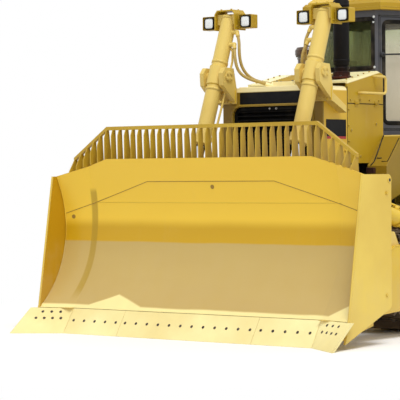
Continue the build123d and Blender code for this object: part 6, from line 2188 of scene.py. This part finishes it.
# ---------------------------------------------------------------- cab
@dataclass
class CabFittings:
    """Gaskets, studs, handles, wiper and roof trim of the cab."""

    screen: tuple[float, float, float, float] = (-0.44, 0.44, 3.26, 3.87)
    door_window: tuple[float, float, float, float] = (0.13, 0.8549, 0.16, 1.435)
    door_seal: tuple[float, float, float, float] = (0.076, 0.9189, 0.086, 1.499)
    side_window: tuple[float, float, float, float] = (-1.34, -0.86, 2.95, 3.87)
    rear_window: tuple[float, float, float, float] = (-0.7, 0.7, 2.95, 3.87)

    def build(self) -> None:
        """Dress the cab, its doors and its roof."""
        form = Form()
        gasket(form, front_wall, self.screen, 0.04, 0.055, 0.007, Look.RUBBER)
        gasket(form, rear_wall, self.rear_window, 0.05, 0.045, 0.007, Look.RUBBER)
        with mirrored(form):
            gasket(form, side_wall, self.side_window, 0.05, 0.045, 0.007, Look.RUBBER)
        self.wiper(form)
        form.piece("cab_gaskets", HULL, CAB_SLOT)
        self.doors()
        self.walls()
        self.roof()
        self.post_feet()

    @staticmethod
    def wiper(form: Form) -> None:
        """Motor cap, arm and blade of the rear window's wiper."""
        cap = [(0, 0.02), (0.018, 0.02), (0.024, 0.012)]
        form.turned(cap, rear_wall(0, 2.92, 0.004), -FRONT, Look.PLASTIC, 16)
        arm = ((0, 2.92, 0.02), (0.1, 3.16, 0.026), (0.2, 3.4, 0.018))
        form.tube(on(rear_wall, arm), 0.006, Look.PLASTIC, 8)
        blade = ((0.09, 3.12, 0.013), (0.2, 3.4, 0.013), (0.27, 3.5, 0.013))
        form.tube(on(rear_wall, blade), 0.006, Look.RUBBER, 6)

    def doors(self) -> None:
        """Seals, window trims and handles of both doors."""
        latch = ((0.1, 1.02, 0.0), (0.1, 1.02, 0.05), (0.34, 1.03, 0.055), (0.4, 1.03, 0.05))
        grip = ((0.9, 0.5, 0.0), (0.9, 0.5, 0.045), (0.9, 0.9, 0.045), (0.9, 0.9, 0.0))
        wiper = ((0.5, 0.2, 0.03), (0.56, 0.45, 0.034), (0.62, 0.75, 0.02))
        for side, sign in SIDES:
            form = Form((sign,))
            gasket(form, door_wall, self.door_window, 0.06, 0.05, 0.008, Look.RUBBER)
            gasket(form, door_wall, self.door_seal, 0.02, 0.012, 0.004, Look.PLASTIC)
            for points, radius, sides in ((latch, 0.011, 10), (grip, 0.011, 10), (wiper, 0.006, 8)):
                form.tube(on(door_wall, points), radius, Look.PLASTIC, sides)
            foot = [(0, 0.034), (0.02, 0.034), (0.03, 0.024)]
            form.turned(foot, door_wall(0.1, 1.02, 0.0), DOOR_OUT, Look.PLASTIC, 20)
            form.piece("door_trim_" + side, "door_" + side, CAB_SLOT)
            name = "door_studs_" + side
            studs = Bolts(name, "door_" + side, Look.PLASTIC, 0.009, 0.006, 10, CAB_SLOT, (sign,))
            for h in (0.305, 0.35, 1.225, 1.27):
                studs.at(door_wall(0.86, h, 0.012), DOOR_OUT)
            studs.build()

    @staticmethod
    def walls() -> None:
        """White studs, grab bars and vents of the cab's walls."""
        # The white studs take the lamp lens finish and its faint painted glow.
        studs = Bolts("cab_studs", HULL, Look.LENS, 0.012, 0.008, 14, CAB_SLOT, BOTH)
        for y, z in ((0.462, 3.9), (0.458, 3.832), (0.468, 3.262)):
            studs.at((0.151, y, z), FRONT)
        studs.build()
        form = Form(BOTH)
        bar = [(-1.42, 0.88, 2.7), (-1.42, 0.935, 2.72), (-1.42, 0.935, 3.5), (-1.42, 0.88, 3.52)]
        form.tube(bar, 0.013, Look.CHARCOAL, 10)
        for z in (2.5 + i * 0.04 for i in range(8)):
            form.block((-1.3, 0.876, z), (-0.9, 0.89, z + 0.018), Look.PLASTIC, 0.002)
        form.piece("cab_side_fittings", HULL, CAB_SLOT)

    @staticmethod
    def roof() -> None:
        """Gutter, lifting eyes, cooling unit and rear lamps of the roof and the canopy."""
        form = Form()
        half = [(0.215, 0.605), (-0.69, 0.945), (-1.515, 0.945)]
        plan = half + [(x, -y) for x, y in reversed(half)]
        wide = [(x + 0.006, y * 1.012) for x, y in plan]
        inner = [(x * 0.98 - 0.012, y * 0.975) for x, y in plan]
        levels = ((plan, 4.012), (wide, 4.016), (wide, 4.026), (plan, 4.03), (inner, 4.03), (inner, 4.012))
        form.loft([[(x, y, z) for x, y in outline] for outline, z in levels], Look.SHADED_YELLOW, closed=True)
        form.block((-0.98, -0.3, 4.1), (-0.42, 0.3, 4.2), Look.SHADED_YELLOW, 0.012)
        for z in (4.12 + i * 0.008 for i in range(9)):
            form.block((-0.41, -0.26, z), (-0.4, 0.26, z + 0.004), Look.GRILLE, 0.0)
        with mirrored(form):
            eye = [(-0.012, 0.05), (-0.012, 0.03), (0.012, 0.03), (0.012, 0.05)]
            form.turned(eye, (-1.64, 0.6, 4.36), LEFT, Look.YELLOW, 24)
            form.block((-1.81, 0.68, 4.145), (-1.73, 0.82, 4.255), Look.PLASTIC, 0.012)
            form.plate(rounded(0.055, 0.04, 0.012, centre=(0.75, 4.2)), -1.815, -1.808, Look.LENS, 0.002)
            form.block((-1.782, 0.738, 4.12), (-1.758, 0.762, 4.15), Look.DARK, 0.002)
        form.piece("roof_fittings")
        bolts = Bolts("roof_bolts", head=0.018, signs=BOTH)
        for x in (-1.7, -1.58):
            bolts.row((x, 1.075, 2.62), (x, 1.075, 2.74), 2, LEFT)
        bolts.row((-1.53, 0.8, 4.2), (-1.53, 0.8, 4.3), 2, FRONT)
        bolts.build()

    @staticmethod
    def post_feet() -> None:
        """Foot plates, gussets and welds of the rollover posts."""
        form = Form(BOTH)
        form.block((-1.79, 0.855, 2.538), (-1.5, 1.115, 2.562), Look.YELLOW, 0.006)
        gusset = [(1.074, 2.56), (1.11, 2.56), (1.074, 2.72)]
        for x in (-1.745, -1.545):
            form.plate(gusset, x - 0.006, x + 0.006, Look.YELLOW, 0.0)
        form.piece("post_feet")
        welds = Welds("post_welds", radius=0.009, signs=BOTH)
        welds.along((-1.74, 1.077, 2.564), (-1.55, 1.077, 2.564))
        welds.along((-1.742, 0.895, 4.15), (-1.742, 1.075, 4.15))
        welds.build()


@dataclass
class Interior:
    """Levers, screen, pedals and lining inside the cab."""

    def build(self) -> None:
        """Furnish the cab."""
        form = Form()
        for low, high, finish, bevel in (
            ((-0.06, -0.3, 3.2), (0.06, 0.3, 3.232), Look.PLASTIC, 0.012),
            ((-1.36, -0.44, 3.955), (0.05, 0.44, 3.98), Look.PLASTIC, 0.008),
            ((-1.385, -0.6, 2.45), (-1.3, 0.6, 2.9), Look.PLASTIC, 0.02),
            ((-0.7, -0.25, 2.402), (-0.1, 0.25, 2.412), Look.RUBBER, 0.003),
        ):
            form.block(low, high, finish, bevel)
        case = [(-0.12, 3.24), (-0.03, 3.24), (0.0, 3.36), (-0.05, 3.37)]
        form.prism(case, -0.13, 0.1, Look.PLASTIC, 0.006)
        screen = [(-0.122, 3.252), (-0.118, 3.252), (-0.058, 3.362), (-0.062, 3.362)]
        form.prism(screen, -0.115, 0.085, Look.SCREEN, 0.0)
        with mirrored(form):
            stick = [(-0.66, 0.36, 3.0), (-0.64, 0.36, 3.07), (-0.635, 0.351, 3.13)]
            form.tube(stick, 0.014, Look.RUBBER, 12)
            knob = [(0, 0.02), (0.03, 0.028), (0.09, 0.026), (0.13, 0.02), (0.14, 0.008)]
            form.turned(knob, (-0.635, 0.351, 3.11), (0.12, 0, 1), Look.PLASTIC, 16)
            form.turned([(0, 0.05), (0.012, 0.046), (0.04, 0.022)], (-0.66, 0.36, 3.0), UP, Look.RUBBER, 18)
            form.block((-0.98, 0.31, 3.0), (-0.72, 0.41, 3.045), Look.FABRIC, 0.016)
        pedal = [(-0.25, 2.47), (-0.17, 2.56), (-0.16, 2.552), (-0.238, 2.462)]
        for y in (-0.2, 0.0, 0.2):
            form.prism(pedal, y - 0.05, y + 0.05, Look.RUBBER, 0.003)
            form.tube([(-0.2, y, 2.5), (-0.12, y, 2.46), (-0.1, y, 2.42)], 0.01, Look.DARK, 8)
        form.piece("cab_interior", HULL, CAB_SLOT)


# ---------------------------------------------------------------- decks, tanks and rear
@dataclass
class Decks:
    """Tread plates, seams, lights and tool boxes of the fenders."""

    pitch: float = 0.045
    nose_lines: tuple[tuple[float, tuple[Triple, ...]], ...] = (
        (0.009, ((0.42, 0.785, 2.387), (0.58, 0.818, 2.207), (0.706, 0.842, 2.065), (0.752, 0.82, 2.013))),
        (0.006, ((0.45, 1.04, 2.353), (0.708, 1.04, 2.063), (0.708, 0.955, 2.063))),
        (0.008, ((0.671, 0.86, 2.104), (0.671, 0.93, 2.104))),
    )

    def build(self) -> None:
        """Dress both fenders."""
        places = []
        for (_, sign), back in zip(SIDES, (-2.86, -1.8)):
            for x0, x1, y0, y1, z in ((-0.78, 0.36, 0.96, 1.53, 2.392), (back, -0.96, 1.1, 1.53, 2.54)):
                places += self.lozenges(x0, x1, sign * y0, sign * y1, z)
        slats("deck_treads", places, Look.SHADED_YELLOW, YELLOW_SLOT, 0.034, 0.009, 0.004)
        self.fittings()

    def lozenges(self, x0: float, x1: float, y0: float, y1: float, z: float) -> list[Seed]:
        """Crossed lozenges of a tread plate.

        Args:
            x0: Its rear end.
            x1: Its front end.
            y0: Its inner edge.
            y1: Its outer edge.
            z: Its top.

        Returns:
            The lozenges' places.
        """
        places = []
        for i in range(int((x1 - x0) / self.pitch)):
            for j in range(int(abs(y1 - y0) / self.pitch)):
                aside = math.copysign((j + 0.5) * self.pitch, y1 - y0)
                place = (x0 + (i + 0.5) * self.pitch, y0 + aside, z + 0.001)
                places.append((place, UP, (1, 1 if (i + j) % 2 else -1, 0)))
        return places

    def fittings(self) -> None:
        """Boxes, nose seams, tail lamps and bolts on both sides, and the left deck's rail."""
        form = Form()
        with mirrored(form):
            for low, high, finish, bevel in (
                ((-0.7, 1.06, 2.18), (-0.1, 1.072, 2.34), Look.SHADED_YELLOW, 0.004),
                ((0.75, 0.775, 1.92), (0.79, 0.895, 1.99), Look.PIN, 0.004),
                ((-2.93, 1.325, 2.43), (-2.895, 1.475, 2.5), Look.PLASTIC, 0.008),
                ((-2.938, 1.34, 2.442), (-2.928, 1.46, 2.488), Look.RED, 0.003),
            ):
                form.block(low, high, finish, bevel)
            for radius, line in self.nose_lines:
                form.tube(line, radius, Look.RUBBER, 8)
        for y in (1.06, -1.072):
            form.block((-0.43, y, 2.3), (-0.37, y + 0.016, 2.33), Look.DARK, 0.003)
        rail = ((-2.82, 2.54), (-2.82, 3.0), (-2.74, 3.08), (-2.0, 3.08), (-1.92, 3.0), (-1.92, 2.54))
        form.tube([(x, 1.5, z) for x, z in rail], 0.016, Look.SHADED_YELLOW, 12)
        form.tube([(-2.82, 1.5, 2.8), (-1.92, 1.5, 2.8)], 0.013, Look.SHADED_YELLOW, 12)
        form.piece("deck_fittings")
        bolts = Bolts("deck_bolts", finish=Look.SHADED_YELLOW, head=0.012, signs=BOTH)
        bolts.row((-0.7, 1.56, 2.345), (0.3, 1.56, 2.345), 5, LEFT)
        bolts.row((-2.8, 1.56, 2.49), (-1.0, 1.56, 2.49), 7, LEFT)
        bolts.build()


@dataclass
class RearEnd:
    """Straps, caps, hatch, gauges and covers of the tanks, the case and the hitch."""

    strap: tuple[Pair, ...] = (
        (-1.85, 3.062), (-3.13, 3.062), (-3.17, 3.052), (-3.487, 2.83), (-3.487, 2.24), (-3.15, 1.985),
        (-3.15, 1.975), (-3.497, 2.234), (-3.497, 2.836), (-3.172, 3.066), (-3.13, 3.074), (-1.85, 3.074),
    )

    def build(self) -> None:
        """Dress the rear of the machine."""
        form = Form()
        bolts = Bolts("rear_bolts", head=0.016)
        self.fuel_tank(form, bolts)
        self.hydraulic_tank(form, bolts)
        self.case(form, bolts)
        form.piece("rear_fittings")
        bolts.build()
        welds = Welds("rear_welds", radius=0.009, signs=BOTH)
        welds.along((-3.052, 0.331, 0.72), (-3.052, 0.331, 1.245))
        welds.along((-3.05, 0.62, 1.5), (-2.5, 0.62, 1.98), (-1.0, 0.62, 1.98))
        welds.build()

    def fuel_tank(self, form: Form, bolts: Bolts) -> None:
        """Straps, filler cap, hatch and sight gauge of the fuel tank."""
        with mirrored(form, bolts):
            form.prism(self.strap, 0.41, 0.49, Look.YELLOW, 0.0)
            bolts.row((-3.494, 0.26, 2.39), (-3.494, 0.26, 2.71), 3, -FRONT)
        cap = [(-0.01, 0.1), (0.03, 0.1), (0.036, 0.09), (0.036, 0.07), (0.075, 0.07), (0.085, 0.06)]
        form.turned(cap, (-2.7, 0.52, 3.06), UP, Look.YELLOW, 32)
        form.block((-2.76, 0.51, 3.14), (-2.64, 0.53, 3.16), Look.DARK)
        form.plate(rounded(0.3, 0.2, 0.05, centre=(0.0, 2.55)), -3.494, -3.478, Look.YELLOW, 0.003)
        form.block((-3.489, 0.6, 2.35), (-3.478, 0.63, 2.75), Look.GLASS_TUBE, 0.002)

    @staticmethod
    def hydraulic_tank(form: Form, bolts: Bolts) -> None:
        """Filter covers, breather and sight gauge of the oil tank."""
        cover = [(-0.006, 0.1), (0.02, 0.1), (0.026, 0.092), (0.026, 0.05), (0.04, 0.045)]
        for x in (-2.5, -2.1):
            bolted(form, bolts, cover, (x, -1.2, 3.06), UP, Look.YELLOW, (0.024, 0.078, 6, 0), 32)
        breather = [(0, 0.02), (0.05, 0.02), (0.06, 0.035), (0.09, 0.035), (0.1, 0.02)]
        form.turned(breather, (-2.3, -1.35, 3.06), UP, Look.DARK, 20)
        form.block((-2.32, -1.508, 2.7), (-2.28, -1.498, 2.95), Look.GLASS_TUBE, 0.002)
        for z in (2.68, 2.95):
            form.block((-2.33, -1.514, z), (-2.27, -1.496, z + 0.025), Look.DARK, 0.003)

    @staticmethod
    def case(form: Form, bolts: Bolts) -> None:
        """Covers of the gear case's rear and top, and the hitch's pin."""
        form.plate(rounded(0.26, 0.16, 0.05, centre=(0.0, 1.37)), -3.066, -3.048, Look.YELLOW, 0.003)
        with mirrored(bolts):
            bolts.row((-3.066, 0.22, 1.26), (-3.066, 0.22, 1.48), 3, -FRONT)
        pin = (-3.68, 0, 0.735)
        form.turned([(0, 0.036), (0.34, 0.036), (0.35, 0.03)], pin, UP, Look.DARK, 24)
        form.turned([(0.335, 0.055), (0.355, 0.055), (0.365, 0.045)], pin, UP, Look.DARK, 24)
        form.tube([(-3.68, 0, 1.1), (-3.66, 0, 1.14), (-3.62, 0, 1.14), (-3.6, 0, 1.1)], 0.009, Look.DARK, 8)


# ---------------------------------------------------------------- chair
@dataclass
class OperatorChair:
    """Padded seat, backrest and arm pads on a pedestal."""

    voxel: float = 0.006
    pressure: float = 4.0
    cap: float = 0.018
    frames: int = 20
    seat: tuple[Triple, Triple] = ((-1.06, -0.245, 2.775), (-0.565, 0.245, 2.86))
    back_half: float = 0.215
    back_line: tuple[Triple, ...] = (
        (-1.015, 2.87, 0.085), (-1.035, 3.0, 0.1), (-1.065, 3.2, 0.085),
        (-1.105, 3.4, 0.07), (-1.125, 3.5, 0.05),
    )

    def pad(self, name: str, loops: Sequence[Line]) -> None:
        """Padded form blown up from a slightly smaller one.

        Args:
            name: The piece's name.
            loops: Its rings before it is padded.
        """
        form = Form()
        form.loft(loops, Look.FABRIC, 0.02, True)
        piece = form.piece(name, HULL, "chair_fabric")
        self.inflate(piece)
        soft = piece.modifiers.new("soften", "SUBSURF")
        soft.levels = soft.render_levels = 1

    def inflate(self, piece: bpy.types.Object) -> None:
        """Let the cloth of a pad swell and keep the shape.

        Args:
            piece: The pad.
        """
        remesh = piece.modifiers.new("even", "REMESH")
        remesh.mode, remesh.voxel_size = "VOXEL", self.voxel
        self.apply(piece)
        start = [v.co.copy() for v in piece.data.vertices]
        cloth = piece.modifiers.new("swell", "CLOTH")
        cloth.settings.use_pressure = True
        cloth.settings.uniform_pressure_force = self.pressure
        cloth.settings.effector_weights.gravity = 0.0
        cloth.point_cache.frame_start, cloth.point_cache.frame_end = 1, self.frames
        for number in range(1, self.frames + 1):
            bpy.context.scene.frame_set(number)
        self.apply(piece)
        bpy.context.scene.frame_set(1)
        for vertex, before in zip(piece.data.vertices, start):
            move = vertex.co - before
            if move.length > self.cap:
                vertex.co = before + move.normalized() * self.cap
        for face in piece.data.polygons:
            face.use_smooth = True

    @staticmethod
    def apply(piece: bpy.types.Object) -> None:
        """Replace a piece's mesh by its evaluated one."""
        graph = bpy.context.evaluated_depsgraph_get()
        mesh = bpy.data.meshes.new_from_object(piece.evaluated_get(graph))
        piece.modifiers.clear()
        piece.data = mesh

    def build(self) -> None:
        """Pedestal and pads."""
        form = Form()
        form.block((-0.99, -0.17, 2.4), (-0.65, 0.17, 2.44), Look.PLASTIC, 0.008)
        levels = (2.44, 2.5, 2.56, 2.62, 2.68, 2.73)
        for low, high, half in zip(levels, levels[1:], (0.14, 0.15, 0.14, 0.15, 0.14)):
            form.block((-0.82 - half, -half, low), (-0.82 + half, half, high), Look.RUBBER, 0.02)
        form.block((-1.07, -0.24, 2.73), (-0.56, 0.24, 2.775), Look.PLASTIC, 0.012)
        shell = [(-1.085, 2.8), (-1.165, 3.5), (-1.18, 3.5), (-1.12, 2.8)]
        form.prism(shell, -0.2, 0.2, Look.PLASTIC, 0.008)
        form.piece("chair_pedestal", HULL, CAB_SLOT, ("operator_chair",))
        (x0, y0, z0), (x1, y1, z1) = self.seat
        middle = ((x0 + x1) / 2, (y0 + y1) / 2)
        outline = rounded((x1 - x0) / 2, (y1 - y0) / 2, 0.07)
        rings = []
        for z, share in ((z0, 0.94), (z0 + 0.02, 1.0), (z1 - 0.03, 1.0), (z1, 0.9)):
            rings.append([(middle[0] + x * share, middle[1] + y * share, z) for x, y in outline])
        self.pad("chair_seat_pad", rings)
        rings = []
        for i, (x, z, depth) in enumerate(self.back_line):
            half = self.back_half * (0.96 if i in (0, len(self.back_line) - 1) else 1.0)
            outline = rounded(depth / 2, half, depth * 0.45)
            rings.append([(x + a, b, z) for a, b in outline])
        self.pad("chair_back_pad", rings)


def main() -> None:
    """Build and dress every sub-assembly in order."""
    logging.basicConfig(level=logging.INFO, format="%(message)s")
    Studio().build()
    Hoses().build()
    FrameFinishes().dress()
    TrackChains().build()
    RunningGear().build()
    BladeFittings().build()
    TiltGear().build()
    LiftGear().build()
    Nose().build()
    Engine().build()
    CabFittings().build()
    Interior().build()
    Decks().build()
    RearEnd().build()
    OperatorChair().build()


def write_sizes() -> None:
    """Work out the frame's box and the dressed machine's box, as plain numbers."""
    boxes = {"cad": CAD_BOX, "visual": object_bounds()}
    plain = {name: [[float(c) for c in corner] for corner in box] for name, box in boxes.items()}


if __name__ == "__main__":
    main()
    write_sizes()
